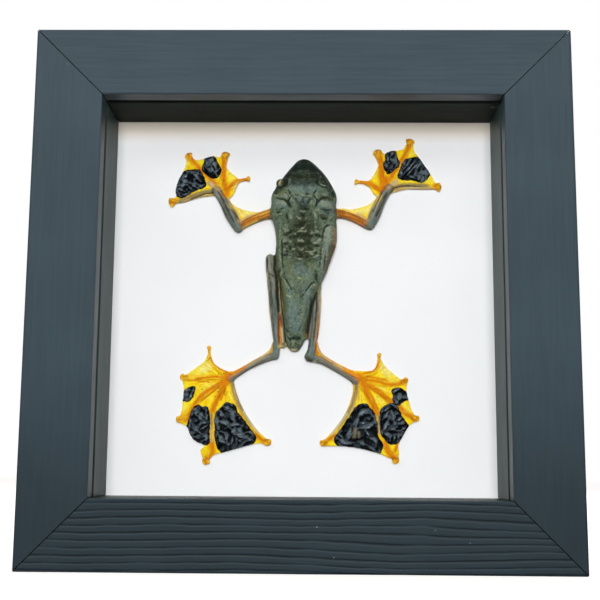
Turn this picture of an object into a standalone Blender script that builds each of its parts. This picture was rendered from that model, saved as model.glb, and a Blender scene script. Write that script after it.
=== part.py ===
"""Framed tree frog specimen: a dried frog on a white board in a square box frame of painted wood.

The frame stands on its lower rail. X is to the right, Z is up and the glass faces -Y. The origin
is under the middle of the frame. Sizes are in metres, and the frog's own landmarks are in
millimetres on the board: x to the right and y up from its middle, and height h out of its face.
"""

import math

import bmesh
import bpy
from mathutils import Matrix, Vector

MM = 0.001
GAP = 0.3 * MM

# Frame, from the outside inward and from the front back
FRAME_WIDTH = 200.0 * MM
FRAME_HEIGHT = 198.8 * MM
FRAME_DEPTH = 42.0 * MM
RAIL_FACE = 25.5 * MM
RABBET_WIDTH = 6.3 * MM
LIP_DEPTH = 7.0 * MM
OUTER_ARRIS = 1.2 * MM
INNER_ARRIS = 0.5 * MM
ARRIS_STEPS = 3
GLASS_THICKNESS = 2.5 * MM
SPACER_CHAMFER = 1.0 * MM
BOARD_DEPTH = 34.0 * MM
BOARD_THICKNESS = 1.6 * MM
BACKING_THICKNESS = 3.0 * MM

# Hardware behind the backing board
TAB_WIDTH = 6.0 * MM
TAB_THICKNESS = 0.5 * MM
TAB_BITE = 3.0 * MM
TAB_REACH = 8.0 * MM
TAB_BENT_END = 2.5 * MM
TAB_BEND = 1.1 * MM
TAB_SPACING = 90.0 * MM
HANGER_LENGTH = 45.0 * MM
HANGER_HEIGHT = 9.0 * MM
HANGER_THICKNESS = 0.7 * MM
HANGER_STEP = 1.2 * MM
HANGER_EAR = 8.0 * MM
HANGER_DROP = 40.0 * MM
TOOTH_PITCH = 2.4 * MM
TOOTH_COUNT = 9
TOOTH_SIDE = 1.5 * MM
SCREW_SHANK = 0.9 * MM
SCREW_HEAD = 2.1 * MM
SCREW_HEAD_HEIGHT = 1.0 * MM
SCREW_LENGTH = 3.9 * MM
SCREW_TIP = 0.6 * MM
HEAD_STEPS = 3
ROUND_STEPS = 12

# Depths of the layers and the sizes that follow from the frame
FRONT_Y = -FRAME_DEPTH / 2
WALL = RAIL_FACE - RABBET_WIDTH
GLASS_DEPTH = LIP_DEPTH + GAP
SPACER_DEPTH = GLASS_DEPTH + GLASS_THICKNESS + GAP
BACKING_DEPTH = BOARD_DEPTH + BOARD_THICKNESS + GAP
BACKING_REAR = BACKING_DEPTH + BACKING_THICKNESS
INSIDE_WIDTH = FRAME_WIDTH - 2 * (WALL + GAP)
INSIDE_HEIGHT = FRAME_HEIGHT - 2 * (WALL + GAP)
MITRE_SETBACK = GAP / math.sqrt(2)
BOARD_Y = FRONT_Y + BOARD_DEPTH
HANGER_DEPTH = BACKING_REAR + GAP
HANGER_Z = FRAME_HEIGHT - HANGER_DROP
SCREW_X = (HANGER_LENGTH - HANGER_EAR) / 2
SCREW_TOP = HANGER_DEPTH + HANGER_THICKNESS + GAP + SCREW_HEAD_HEIGHT
SCREW_HOLE_BOTTOM = SCREW_TOP - SCREW_LENGTH - GAP

# Turn about Y, length and distance from the frame's middle of each side
SIDES = {
    "bottom": (0.0, FRAME_WIDTH, FRAME_HEIGHT / 2),
    "left": (math.radians(90), FRAME_HEIGHT, FRAME_WIDTH / 2),
    "top": (math.radians(180), FRAME_WIDTH, FRAME_HEIGHT / 2),
    "right": (math.radians(270), FRAME_HEIGHT, FRAME_WIDTH / 2),
}

# Edges that turn more than this stay sharp in round pieces
SHARP_ANGLE = math.radians(50)

# Frog's body from snout to vent: y, left edge, right edge, height of the back
BODY_SECTIONS = (
    (58.0, -0.6, 1.2, 3.4),
    (57.2, -2.4, 3.0, 4.2),
    (55.5, -4.0, 4.9, 5.3),
    (52.5, -6.3, 7.6, 6.7),
    (49.5, -8.6, 9.8, 7.8),
    (46.0, -10.8, 11.8, 8.4),
    (42.5, -12.5, 13.2, 8.6),
    (39.0, -12.5, 12.9, 9.0),
    (35.5, -13.0, 13.3, 9.2),
    (32.0, -11.8, 13.1, 8.8),
    (28.0, -10.8, 13.4, 8.5),
    (23.0, -10.5, 13.0, 8.4),
    (18.0, -10.8, 11.3, 8.6),
    (13.0, -10.4, 9.6, 8.8),
    (8.5, -9.1, 7.6, 8.7),
    (3.5, -8.0, 5.3, 8.1),
    (-2.0, -7.4, 3.3, 7.3),
    (-8.0, -6.9, 2.0, 6.3),
    (-13.0, -6.6, 1.3, 5.2),
    (-16.3, -5.9, 0.0, 4.6),
    (-18.6, -4.2, -1.9, 3.2),
)
BODY_RINGS_A_SECTION = 2
BODY_SIDES = 24
BODY_SQUARENESS = 0.84
BELLY_HEIGHT = 0.35
WAIST_SHARE = 0.36

# Ridges and hollows of the back: x, y to x, y, spread and rise, which is negative in a hollow
BACK_FORMS = (
    (-9.0, 38.5, -10.0, 38.0, 2.4, 0.7),
    (9.4, 38.5, 10.0, 38.2, 2.4, 0.7),
    (-8.8, 33.8, -7.6, 30.5, 1.8, 0.6),
    (8.6, 33.6, 7.4, 30.5, 1.8, 0.5),
    (-11.5, 42.4, -6.2, 40.4, 1.3, -0.8),
    (11.8, 42.6, 6.4, 40.4, 1.3, -0.8),
    (-5.0, 39.0, -1.0, 33.5, 1.4, -0.6),
    (4.8, 39.0, 1.0, 33.5, 1.4, -0.6),
    (0.0, 41.5, 0.0, 37.5, 2.6, 0.4),
    (-9.3, 29.0, -9.2, 13.0, 1.3, 0.7),
    (7.6, 29.0, 7.6, 12.0, 1.3, 0.7),
    (11.0, 28.5, 10.4, 22.0, 2.0, 0.7),
    (-0.6, 31.0, -1.2, 12.0, 1.6, 0.4),
    (-6.8, 9.3, -2.8, 3.6, 1.1, -0.6),
    (5.0, 8.8, 0.2, 3.4, 1.1, -0.6),
    (-6.2, 5.5, -4.4, -9.5, 1.4, 0.7),
    (3.2, 6.5, -1.2, -9.5, 1.4, 0.7),
    (-5.0, -13.4, -0.6, -13.4, 1.1, -0.9),
    (-3.4, -16.2, -2.6, -16.2, 1.6, 0.5),
    (0.2, 55.5, 0.2, 51.0, 2.4, -0.4),
)

# Limbs, from the body outward: x, y, height of the middle and radius
UPPER_ARMS = (
    ((-9.5, 36.2, 3.4, 2.0), (-14.0, 35.7, 2.6, 1.8), (-19.0, 33.9, 2.2, 1.6), (-24.5, 31.2, 2.1, 1.6)),
    ((9.5, 36.0, 3.4, 2.0), (15.0, 35.9, 2.6, 1.6), (20.0, 34.3, 2.2, 1.5), (25.8, 31.4, 2.1, 1.6)),
)
FOREARMS = (
    ((-25.5, 30.2, 2.4, 1.9), (-28.3, 34.9, 2.7, 2.3), (-31.0, 40.0, 2.3, 1.9), (-34.6, 45.2, 1.9, 1.5)),
    ((26.6, 31.5, 2.4, 1.8), (28.0, 35.0, 2.7, 2.2), (30.9, 41.5, 2.3, 1.9), (34.0, 46.3, 1.9, 1.5)),
)
THIGHS = (
    ((-11.6, 17.5, 2.2, 1.7), (-9.2, 6.0, 2.0, 1.6), (-8.2, -4.0, 1.9, 1.5), (-7.2, -16.0, 1.8, 1.3)),
    ((10.8, 27.0, 3.0, 2.4), (6.6, 12.0, 2.4, 1.9), (3.0, -2.0, 2.0, 1.6), (1.0, -13.0, 1.8, 1.2)),
)
SHINS = (
    (
        (-12.7, 17.6, 3.2, 1.9),
        (-12.3, 13.0, 3.0, 2.1),
        (-11.4, 4.0, 2.7, 2.0),
        (-10.8, -4.0, 2.5, 1.9),
        (-10.2, -11.0, 2.1, 1.5),
        (-9.8, -17.0, 1.9, 1.3),
        (-10.2, -20.3, 1.9, 1.5),
    ),
    (
        (8.2, 20.0, 3.0, 2.0),
        (5.7, 9.0, 2.8, 1.9),
        (5.3, 0.0, 2.6, 1.9),
        (4.8, -8.0, 2.4, 2.0),
        (4.2, -14.0, 2.2, 1.7),
        (3.5, -18.5, 2.1, 1.6),
        (2.7, -20.6, 2.3, 1.9),
    ),
)
ANKLES = (
    (
        (-10.0, -20.2, 1.7, 1.3),
        (-15.5, -22.1, 1.5, 1.1),
        (-21.0, -25.2, 1.4, 0.9),
        (-27.2, -29.0, 1.4, 1.1),
    ),
    ((3.2, -21.0, 1.9, 1.6), (8.0, -22.5, 1.6, 1.2), (14.0, -26.0, 1.4, 1.0), (20.3, -29.8, 1.4, 1.1)),
)

# Fingers and toes, from the palm or the sole to the tip: x and y
LEFT_FINGERS = (
    ((-32.5, 46.0), (-28.5, 48.2), (-25.4, 49.6), (-22.0, 50.3)),
    ((-33.5, 46.5), (-31.9, 51.5), (-31.4, 56.0), (-31.1, 60.0)),
    ((-35.0, 46.5), (-40.4, 52.6), (-43.6, 56.2), (-45.7, 59.6)),
    ((-34.5, 45.0), (-41.0, 44.0), (-46.5, 41.9), (-51.8, 40.7)),
)
RIGHT_FINGERS = (
    ((32.0, 45.5), (28.0, 47.3), (24.8, 48.9), (21.2, 49.2)),
    ((33.0, 46.5), (31.2, 52.0), (30.9, 56.5), (29.5, 61.0)),
    ((34.0, 47.5), (38.3, 56.0), (41.2, 61.2), (42.4, 65.5)),
    ((34.5, 46.3), (41.0, 47.8), (47.0, 47.4), (53.2, 47.2)),
)
LEFT_TOES = (
    ((-28.0, -28.6), (-33.2, -25.1), (-35.6, -21.6), (-36.1, -17.4)),
    ((-27.8, -28.9), (-36.0, -28.8), (-42.0, -28.9), (-46.0, -28.6)),
    ((-28.0, -29.2), (-36.5, -34.8), (-41.5, -39.6), (-47.0, -44.9)),
    ((-28.0, -29.4), (-33.0, -37.5), (-34.6, -45.0), (-34.5, -54.5), (-36.4, -60.6)),
    ((-27.2, -29.2), (-25.9, -34.5), (-22.8, -41.5), (-17.6, -49.0), (-13.0, -53.3)),
)
RIGHT_TOES = (
    ((21.2, -28.8), (27.2, -26.5), (29.3, -23.6), (29.8, -19.8)),
    ((21.9, -29.4), (30.0, -31.0), (36.0, -31.0), (39.8, -29.4)),
    ((22.1, -30.1), (30.0, -34.2), (36.5, -40.0), (43.8, -44.0)),
    ((21.4, -30.6), (26.3, -36.0), (29.4, -44.0), (31.0, -53.0), (35.8, -59.8)),
    ((20.4, -30.0), (20.0, -35.5), (17.2, -42.5), (12.6, -49.0), (8.3, -53.5)),
)
TIP_RADII = {
    "left_finger": (1.3, 1.9, 1.8, 2.1),
    "right_finger": (1.3, 2.0, 2.0, 2.0),
    "left_toe": (1.0, 1.6, 1.9, 2.1, 2.0),
    "right_toe": (1.0, 1.5, 1.8, 2.0, 1.9),
}
DIGIT_BASE_RADIUS = 0.8
DIGIT_TIP_RADIUS = 0.6
DIGIT_REST = 0.45
PAD_HALF_THICKNESS = 0.5
PAD_LENGTH_SHARE = 0.85
LUMP_SIDES = 8
LUMP_RINGS = 4

# A limb's rounded end, as shares of its radius there
END_REACH = 0.6
END_RADIUS = 0.55

# Webs, round their edges: x and y. Each digit's tip stands out of the web between two points
WEB_HEIGHT = 0.65
WEB_THICKNESS = 0.5
LEFT_HAND_WEB = (
    (-28.9, 42.6), (-27.3, 44.3), (-26.5, 46.4), (-25.4, 48.9), (-25.6, 50.3), (-28.4, 52.7),
    (-30.3, 54.6), (-30.6, 56.5), (-30.0, 58.8), (-32.6, 60.0), (-33.8, 59.3), (-36.2, 59.9),
    (-40.0, 58.7), (-43.2, 58.3), (-44.6, 59.6), (-47.0, 59.0), (-46.8, 57.0), (-48.2, 53.0),
    (-49.8, 50.0), (-51.0, 45.4), (-50.5, 43.3), (-51.8, 42.0), (-52.0, 40.3), (-47.0, 41.2),
    (-41.5, 43.3), (-35.5, 43.8), (-32.0, 42.0),
)
RIGHT_HAND_WEB = (
    (28.8, 43.6), (27.2, 45.0), (26.2, 46.9), (24.2, 48.3), (24.6, 49.6), (26.4, 50.1),
    (28.7, 54.0), (29.7, 56.4), (28.4, 60.0), (31.3, 61.3), (32.5, 60.9), (34.0, 61.9),
    (36.4, 62.3), (39.6, 62.7), (40.7, 64.6), (43.9, 64.2), (44.2, 62.0), (46.6, 58.6),
    (50.5, 52.7), (52.2, 49.5), (53.0, 46.6), (47.0, 46.8), (41.0, 47.0), (36.0, 45.4),
    (32.0, 43.0),
)
LEFT_FOOT_WEB = (
    (-11.2, -15.4), (-12.2, -18.0), (-15.5, -20.5), (-20.0, -23.1), (-26.0, -26.3), (-29.5, -26.1),
    (-34.2, -23.2), (-35.3, -20.4), (-36.9, -20.2), (-38.2, -22.6), (-44.5, -27.4), (-46.2, -29.8),
    (-45.8, -33.0), (-46.3, -41.0), (-47.0, -44.0), (-46.2, -46.6), (-44.2, -47.8), (-42.5, -51.6),
    (-40.3, -53.6), (-37.1, -54.9), (-38.8, -56.5), (-37.4, -60.2), (-35.2, -60.2), (-33.2, -58.4),
    (-29.6, -57.5), (-18.5, -54.4), (-15.3, -54.1), (-13.8, -54.8), (-13.0, -52.6), (-17.4, -48.4),
    (-22.8, -41.5), (-25.4, -35.0), (-26.4, -30.4), (-21.0, -25.6), (-15.5, -22.4), (-10.6, -20.2),
)
RIGHT_FOOT_WEB = (
    (5.6, -15.2), (6.5, -18.2), (9.0, -20.8), (15.0, -24.1), (19.5, -25.8), (26.6, -25.8),
    (28.5, -24.3), (29.1, -21.4), (30.4, -21.2), (32.4, -24.2), (38.3, -29.1), (40.6, -30.2),
    (40.4, -33.5), (42.0, -40.0), (43.2, -42.6), (43.0, -45.5), (41.2, -47.0), (38.6, -51.4),
    (37.2, -54.2), (37.2, -58.6), (34.8, -59.7), (29.8, -57.7), (22.0, -55.7), (14.5, -54.9),
    (9.0, -54.8), (8.8, -52.6), (12.2, -49.0), (17.0, -42.4), (19.4, -36.0), (19.8, -31.5),
    (14.0, -26.8), (8.0, -23.2), (4.0, -21.5),
)
ELBOW_WEBS = (
    (
        (-12.0, 37.3), (-19.0, 37.0), (-24.5, 38.2), (-28.0, 40.3), (-30.0, 43.0), (-32.0, 42.0),
        (-28.0, 34.5), (-24.8, 31.6), (-18.0, 34.3), (-12.0, 35.5),
    ),
    (
        (12.2, 38.5), (19.5, 38.3), (25.0, 39.8), (28.0, 42.0), (29.6, 44.2), (31.4, 43.0),
        (28.0, 35.5), (25.6, 32.0), (19.0, 35.0), (12.2, 36.0),
    ),
)
EYES = ((-8.9, 47.5, 6.2, 2.2), (8.4, 47.9, 6.3, 1.9))

PAINT = (0.042, 0.060, 0.070, 1.0)
CLEAR = (0.92, 0.95, 0.95, 1.0)
CARD = (0.86, 0.87, 0.88, 1.0)
SKIN = (0.055, 0.075, 0.062, 1.0)
FIBRE = (0.23, 0.14, 0.075, 1.0)
STEEL = (0.55, 0.55, 0.53, 1.0)


def finish(name, colour, roughness, metallic=0.0, transmission=0.0):
    """A material of one colour."""
    material = bpy.data.materials.new(name)
    material.use_nodes = True
    shader = material.node_tree.nodes["Principled BSDF"]
    shader.inputs["Base Color"].default_value = colour
    shader.inputs["Roughness"].default_value = roughness
    shader.inputs["Metallic"].default_value = metallic
    shader.inputs["Transmission Weight"].default_value = transmission
    return material


def place(name, mesh, collection, material=None, parent=None, turn=0.0):
    """An object of this mesh, turned about Y where it stands on its parent."""
    thing = bpy.data.objects.new(name, mesh)
    collection.objects.link(thing)
    thing.parent = parent
    thing.rotation_euler = (0.0, turn, 0.0)
    if material:
        mesh.materials.append(material)
    return thing


def as_mesh(form, name):
    """A bmesh turned into mesh data, with its faces pointing out."""
    bmesh.ops.recalc_face_normals(form, faces=form.faces)
    mesh = bpy.data.meshes.new(name)
    form.to_mesh(mesh)
    form.free()
    return mesh


def rounded(mesh):
    """The mesh shaded smooth, but for its sharp edges."""
    mesh.shade_smooth()
    mesh.set_sharp_from_angle(angle=SHARP_ANGLE)
    return mesh


def prism(outline, length, reach, along=0.0):
    """The outline, of distances inward and depths, drawn out in X along the lower side."""
    form = bmesh.new()
    start = along - length / 2
    corners = [form.verts.new((start, FRONT_Y + depth, inward - reach)) for inward, depth in outline]
    drawn = bmesh.ops.extrude_face_region(form, geom=[form.faces.new(corners)])
    moved = [item for item in drawn["geom"] if isinstance(item, bmesh.types.BMVert)]
    bmesh.ops.translate(form, verts=moved, vec=(length, 0.0, 0.0))
    return form


def mitred_strip(outline, rounds, length, reach, name):
    """A strip with ends cut at 45 degrees; rounds gives the bevel weight of some outline corners."""
    form = prism(outline, length, reach)
    for corner in form.verts:
        inward = corner.co.z + reach
        end = length / 2 - inward - MITRE_SETBACK
        corner.co.x = math.copysign(end, corner.co.x)
    weights = form.edges.layers.float.new("bevel_weight_edge")
    for edge in form.edges:
        first, second = edge.verts
        if first.co.x * second.co.x < 0:
            here = (first.co.z + reach, first.co.y - FRONT_Y)
            edge[weights] = sum(
                weight for (inward, depth), weight in rounds if math.dist(here, (inward, depth)) < GAP
            )
    return as_mesh(form, name)


def add_bevel(thing):
    """Rounds the edges that carry a bevel weight."""
    bevel = thing.modifiers.new("Arrises", "BEVEL")
    bevel.limit_method = "WEIGHT"
    bevel.width = OUTER_ARRIS
    bevel.segments = ARRIS_STEPS


def cut_with(thing, cutter):
    """Cuts the cutter's shape out of the thing."""
    cutter.hide_render = True
    cutter.display_type = "WIRE"
    boolean = thing.modifiers.new(cutter.name, "BOOLEAN")
    boolean.operation = "DIFFERENCE"
    boolean.object = cutter


def slab(name, width, height, depth, thickness):
    """A flat sheet square to Y, at a depth behind the frame's front."""
    form = bmesh.new()
    bmesh.ops.create_cube(form, size=1.0)
    bmesh.ops.scale(form, vec=(width, thickness, height), verts=form.verts)
    bmesh.ops.translate(form, vec=(0.0, FRONT_Y + depth + thickness / 2, 0.0), verts=form.verts)
    return as_mesh(form, name)


def build_rails(parts, cutters, centre, paint):
    """Four mitred rails with a rabbet behind the lip and slots for the retaining tabs."""
    outline = (
        (0.0, 0.0),
        (RAIL_FACE, 0.0),
        (RAIL_FACE, LIP_DEPTH),
        (WALL, LIP_DEPTH),
        (WALL, FRAME_DEPTH),
        (0.0, FRAME_DEPTH),
    )
    soft = INNER_ARRIS / OUTER_ARRIS
    rounds = (((0.0, 0.0), 1.0), ((RAIL_FACE, 0.0), soft), ((0.0, FRAME_DEPTH), soft))
    slot_front = BACKING_REAR
    slot_rear = BACKING_REAR + TAB_THICKNESS + 2 * GAP
    slot_outline = (
        (WALL - TAB_BITE - GAP, slot_front),
        (RAIL_FACE, slot_front),
        (RAIL_FACE, slot_rear),
        (WALL - TAB_BITE - GAP, slot_rear),
    )
    for side, (turn, length, reach) in SIDES.items():
        name = "frame_rail_" + side
        rail = place(name, mitred_strip(outline, rounds, length, reach, name), parts, paint, centre, turn)
        add_bevel(rail)
        for along in (-TAB_SPACING / 2, TAB_SPACING / 2):
            slot_mesh = as_mesh(prism(slot_outline, TAB_WIDTH + 2 * GAP, reach, along), "tab_slot")
            slot = place("tab_slot", slot_mesh, cutters, parent=centre, turn=turn)
            cut_with(rail, slot)


def build_spacers(parts, centre, paint):
    """Four mitred strips that fill the rabbet between the glass and the board."""
    rear = BOARD_DEPTH - GAP
    outline = (
        (WALL + GAP, SPACER_DEPTH),
        (RAIL_FACE - SPACER_CHAMFER, SPACER_DEPTH),
        (RAIL_FACE, SPACER_DEPTH + SPACER_CHAMFER),
        (RAIL_FACE, rear),
        (WALL + GAP, rear),
    )
    for side, (turn, length, reach) in SIDES.items():
        name = "spacer_" + side
        place(name, mitred_strip(outline, (), length, reach, name), parts, paint, centre, turn)


def build_tabs(parts, centre, steel):
    """Eight steel tabs, each pushed into the rabbet wall and bent up at its free end."""
    near = BACKING_REAR + GAP
    far = near + TAB_THICKNESS
    bend = WALL + TAB_REACH
    end = bend + TAB_BENT_END
    outline = (
        (WALL - TAB_BITE, near),
        (bend, near),
        (end, near + TAB_BEND),
        (end, far + TAB_BEND),
        (bend, far),
        (WALL - TAB_BITE, far),
    )
    number = 1
    for turn, _, reach in SIDES.values():
        for along in (-TAB_SPACING / 2, TAB_SPACING / 2):
            name = f"retaining_tab_{number}"
            place(name, as_mesh(prism(outline, TAB_WIDTH, reach, along), name), parts, steel, centre, turn)
            number += 1


def cut_round_hole(thing, name, depth, length, x, cutters):
    """Cuts a hole along Y for a hanger screw, its middle at a depth behind the frame's front."""
    form = bmesh.new()
    radius = SCREW_SHANK + GAP
    bmesh.ops.create_cone(
        form, cap_ends=True, segments=ROUND_STEPS, radius1=radius, radius2=radius, depth=length
    )
    bar = place(name, as_mesh(form, name), cutters)
    bar.rotation_euler = (math.radians(90), 0.0, 0.0)
    bar.location = (x, FRONT_Y + depth, HANGER_Z)
    cut_with(thing, bar)


def build_backing(parts, cutters, centre, fibre):
    """The fibreboard that closes the back, with a blind hole for each hanger screw."""
    mesh = slab("backing_board", INSIDE_WIDTH, INSIDE_HEIGHT, BACKING_DEPTH, BACKING_THICKNESS)
    board = place("backing_board", mesh, parts, fibre, centre)
    hole_length = 2 * (BACKING_REAR - SCREW_HOLE_BOTTOM)
    for x in (-SCREW_X, SCREW_X):
        cut_round_hole(board, "board_hole", BACKING_REAR, hole_length, x, cutters)


def build_hanger(parts, cutters, steel):
    """A bent steel strip with a row of notches under its raised middle."""
    half = HANGER_LENGTH / 2
    ear = half - HANGER_EAR
    raised = ear - 2 * HANGER_STEP
    line = [(-half, 0.0), (-ear, 0.0), (-raised, HANGER_STEP)]
    line += [(-x, rise) for x, rise in reversed(line)]
    outline = [(x, HANGER_DEPTH + rise) for x, rise in line]
    outline += [(x, HANGER_DEPTH + HANGER_THICKNESS + rise) for x, rise in reversed(line)]
    mesh = as_mesh(prism(outline, HANGER_HEIGHT, 0.0), "hanger_plate")
    plate = place("hanger_plate", mesh, parts, steel, turn=math.radians(90))
    plate.location = (0.0, 0.0, HANGER_Z)

    middle = HANGER_DEPTH + HANGER_THICKNESS / 2
    form = bmesh.new()
    eighth_turn = Matrix.Rotation(math.radians(45), 3, "Y")
    for index in range(TOOTH_COUNT):
        notch = bmesh.ops.create_cube(form, size=1.0)["verts"]
        bmesh.ops.scale(form, verts=notch, vec=(TOOTH_SIDE, 3 * HANGER_THICKNESS, TOOTH_SIDE))
        bmesh.ops.rotate(form, verts=notch, cent=(0, 0, 0), matrix=eighth_turn)
        x = (index - (TOOTH_COUNT - 1) / 2) * TOOTH_PITCH
        bmesh.ops.translate(form, verts=notch, vec=(x, 0.0, 0.0))
    notches = place("hanger_notches", as_mesh(form, "hanger_notches"), cutters)
    notches.location = (0.0, FRONT_Y + middle + HANGER_STEP, HANGER_Z - HANGER_HEIGHT / 2)
    cut_with(plate, notches)
    for x in (-SCREW_X, SCREW_X):
        cut_round_hole(plate, "plate_hole", middle, 3 * HANGER_THICKNESS, x, cutters)


def build_screw(name, x, parts, steel):
    """A screw with a domed head, turned about its own axis, with its head to the back."""
    profile = []
    for step in range(HEAD_STEPS + 1):
        turn = math.pi / 2 * step / HEAD_STEPS
        profile.append((SCREW_HEAD * math.sin(turn), SCREW_HEAD_HEIGHT * (math.cos(turn) - 1.0)))
    profile += [
        (SCREW_SHANK, -SCREW_HEAD_HEIGHT),
        (SCREW_SHANK, -SCREW_LENGTH + SCREW_TIP),
        (0.0, -SCREW_LENGTH),
    ]
    form = bmesh.new()
    points = [form.verts.new((radius, 0.0, z)) for radius, z in profile]
    for first, second in zip(points, points[1:]):
        form.edges.new((first, second))
    mesh = bpy.data.meshes.new(name)
    form.to_mesh(mesh)
    form.free()
    screw = place(name, mesh, parts, steel)
    turned = screw.modifiers.new("Turned", "SCREW")
    turned.steps = ROUND_STEPS
    turned.render_steps = ROUND_STEPS
    turned.use_merge_vertices = True
    turned.merge_threshold = 0.01 * MM
    screw.rotation_euler = (math.radians(-90), 0.0, 0.0)
    screw.location = (x, FRONT_Y + SCREW_TOP, HANGER_Z)


def on_board(x, y, h):
    """The point x right and y up from the board's middle and h out of its face, all in mm."""
    return Vector((x * MM, BOARD_Y - h * MM, FRAME_HEIGHT / 2 + y * MM))


def smooth_rows(rows, steps):
    """The rows of numbers with others between them, on a Catmull-Rom curve through them all."""
    padded = [rows[0], *rows, rows[-1]]
    result = []
    for before, start, end, after in zip(padded, padded[1:], padded[2:], padded[3:]):
        for step in range(steps):
            t = step / steps
            result.append(
                [
                    b + t * (c - a + t * (2 * a - 5 * b + 4 * c - d + t * (3 * b - a - 3 * c + d))) / 2
                    for a, b, c, d in zip(before, start, end, after)
                ]
            )
    result.append(rows[-1])
    return result


def relief(x, y):
    """How far the ridges and hollows lift the skin at a place on the back, in mm."""
    rise = 0.0
    here = Vector((x, y))
    for x0, y0, x1, y1, spread, height in BACK_FORMS:
        start = Vector((x0, y0))
        run = Vector((x1, y1)) - start
        share = min(1.0, max(0.0, (here - start).dot(run) / run.length_squared))
        distance = (here - start - share * run).length
        rise += height * math.exp(-((distance / spread) ** 2))
    return rise


def body_ring(y, left, right, crown):
    """The points round the body at one section: flat underneath, full at the sides."""
    middle = (left + right) / 2
    half = (right - left) / 2
    waist = WAIST_SHARE * crown
    ring = []
    for index in range(BODY_SIDES):
        turn = 2 * math.pi * index / BODY_SIDES
        across = math.copysign(abs(math.cos(turn)) ** BODY_SQUARENESS, math.cos(turn))
        lift = abs(math.sin(turn)) ** BODY_SQUARENESS
        x = middle + half * across
        if math.sin(turn) >= 0:
            h = waist + (crown - waist + relief(x, y)) * lift
        else:
            h = waist - (waist - BELLY_HEIGHT) * lift
        ring.append(on_board(x, y, h))
    return ring


def build_body(parts, skin):
    """The frog's trunk and head, a loft through its sections."""
    form = bmesh.new()
    rings = [
        [form.verts.new(point) for point in body_ring(*row)]
        for row in smooth_rows(BODY_SECTIONS, BODY_RINGS_A_SECTION)
    ]
    for ring, following in zip(rings, rings[1:]):
        for index in range(BODY_SIDES):
            after = (index + 1) % BODY_SIDES
            form.faces.new((ring[index], ring[after], following[after], following[index]))
    form.faces.new(rings[0])
    form.faces.new(rings[-1])
    return place("tree_frog", rounded(as_mesh(form, "tree_frog")), parts, skin)


def solid_from_curve(curve, additions):
    """The curve's solid as a mesh object, with its caps welded on."""
    holder = bpy.data.objects.new(curve.name, curve)
    additions.objects.link(holder)
    bpy.context.view_layer.update()
    evaluated = holder.evaluated_get(bpy.context.evaluated_depsgraph_get())
    mesh = bpy.data.meshes.new_from_object(evaluated)
    form = bmesh.new()
    form.from_mesh(mesh)
    form.transform(holder.matrix_world)
    bmesh.ops.remove_doubles(form, verts=form.verts, dist=0.01 * MM)
    bpy.data.objects.remove(holder)
    return place(curve.name, rounded(as_mesh(form, curve.name)), additions)


def add_tube(name, stations, additions, steps=2, resolution=2):
    """A tapered limb through stations of x, y, height and radius, with rounded ends."""
    rows = smooth_rows(stations, steps)
    start = Vector(rows[0][:3])
    end = Vector(rows[-1][:3])
    before = start + (start - Vector(rows[1][:3])).normalized() * rows[0][3] * END_REACH
    beyond = end + (end - Vector(rows[-2][:3])).normalized() * rows[-1][3] * END_REACH
    rows = [[*before, rows[0][3] * END_RADIUS], *rows, [*beyond, rows[-1][3] * END_RADIUS]]
    curve = bpy.data.curves.new(name, "CURVE")
    curve.dimensions = "3D"
    curve.bevel_depth = MM
    curve.bevel_resolution = resolution
    curve.use_fill_caps = True
    spline = curve.splines.new("POLY")
    spline.points.add(len(rows) - 1)
    for point, (x, y, h, radius) in zip(spline.points, rows):
        point.co = (*on_board(x, y, h), 1.0)
        point.radius = radius
    return solid_from_curve(curve, additions)


def add_web(name, edge, additions):
    """A thin web with a smooth scalloped edge, lying flat over the board."""
    curve = bpy.data.curves.new(name, "CURVE")
    curve.dimensions = "2D"
    curve.fill_mode = "BOTH"
    curve.extrude = WEB_THICKNESS / 2 * MM
    curve.resolution_u = 1
    spline = curve.splines.new("BEZIER")
    spline.bezier_points.add(len(edge) - 1)
    spline.use_cyclic_u = True
    for point, (x, y) in zip(spline.bezier_points, edge):
        point.co = (x * MM, y * MM, 0.0)
        point.handle_left_type = point.handle_right_type = "AUTO"
    web = solid_from_curve(curve, additions)
    web.rotation_euler = (math.radians(90), 0.0, 0.0)
    web.location = on_board(0.0, 0.0, WEB_HEIGHT)


def add_lump(name, x, y, h, radii, additions):
    """A rounded lump with its own radius in each direction: across, out of the board and up."""
    form = bmesh.new()
    bmesh.ops.create_uvsphere(form, u_segments=LUMP_SIDES, v_segments=LUMP_RINGS, radius=MM)
    bmesh.ops.scale(form, vec=radii, verts=form.verts)
    bmesh.ops.translate(form, vec=on_board(x, y, h), verts=form.verts)
    place(name, rounded(as_mesh(form, name)), additions)


def add_digits(kind, digits, additions):
    """Fingers or toes, each a thin tapered bone with a round flat pad at its tip."""
    for number, (digit, pad) in enumerate(zip(digits, TIP_RADII[kind]), 1):
        taper = (DIGIT_TIP_RADIUS - DIGIT_BASE_RADIUS) / (len(digit) - 1)
        radii = [DIGIT_BASE_RADIUS + taper * index for index in range(len(digit))]
        stations = [(x, y, DIGIT_REST + radius, radius) for (x, y), radius in zip(digit, radii)]
        add_tube(f"{kind}_{number}", stations, additions, steps=1, resolution=1)
        x, y = digit[-1]
        height = DIGIT_REST + PAD_HALF_THICKNESS
        radii = (pad, PAD_HALF_THICKNESS, PAD_LENGTH_SHARE * pad)
        add_lump(f"{kind}_pad_{number}", x, y, height, radii, additions)


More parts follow.
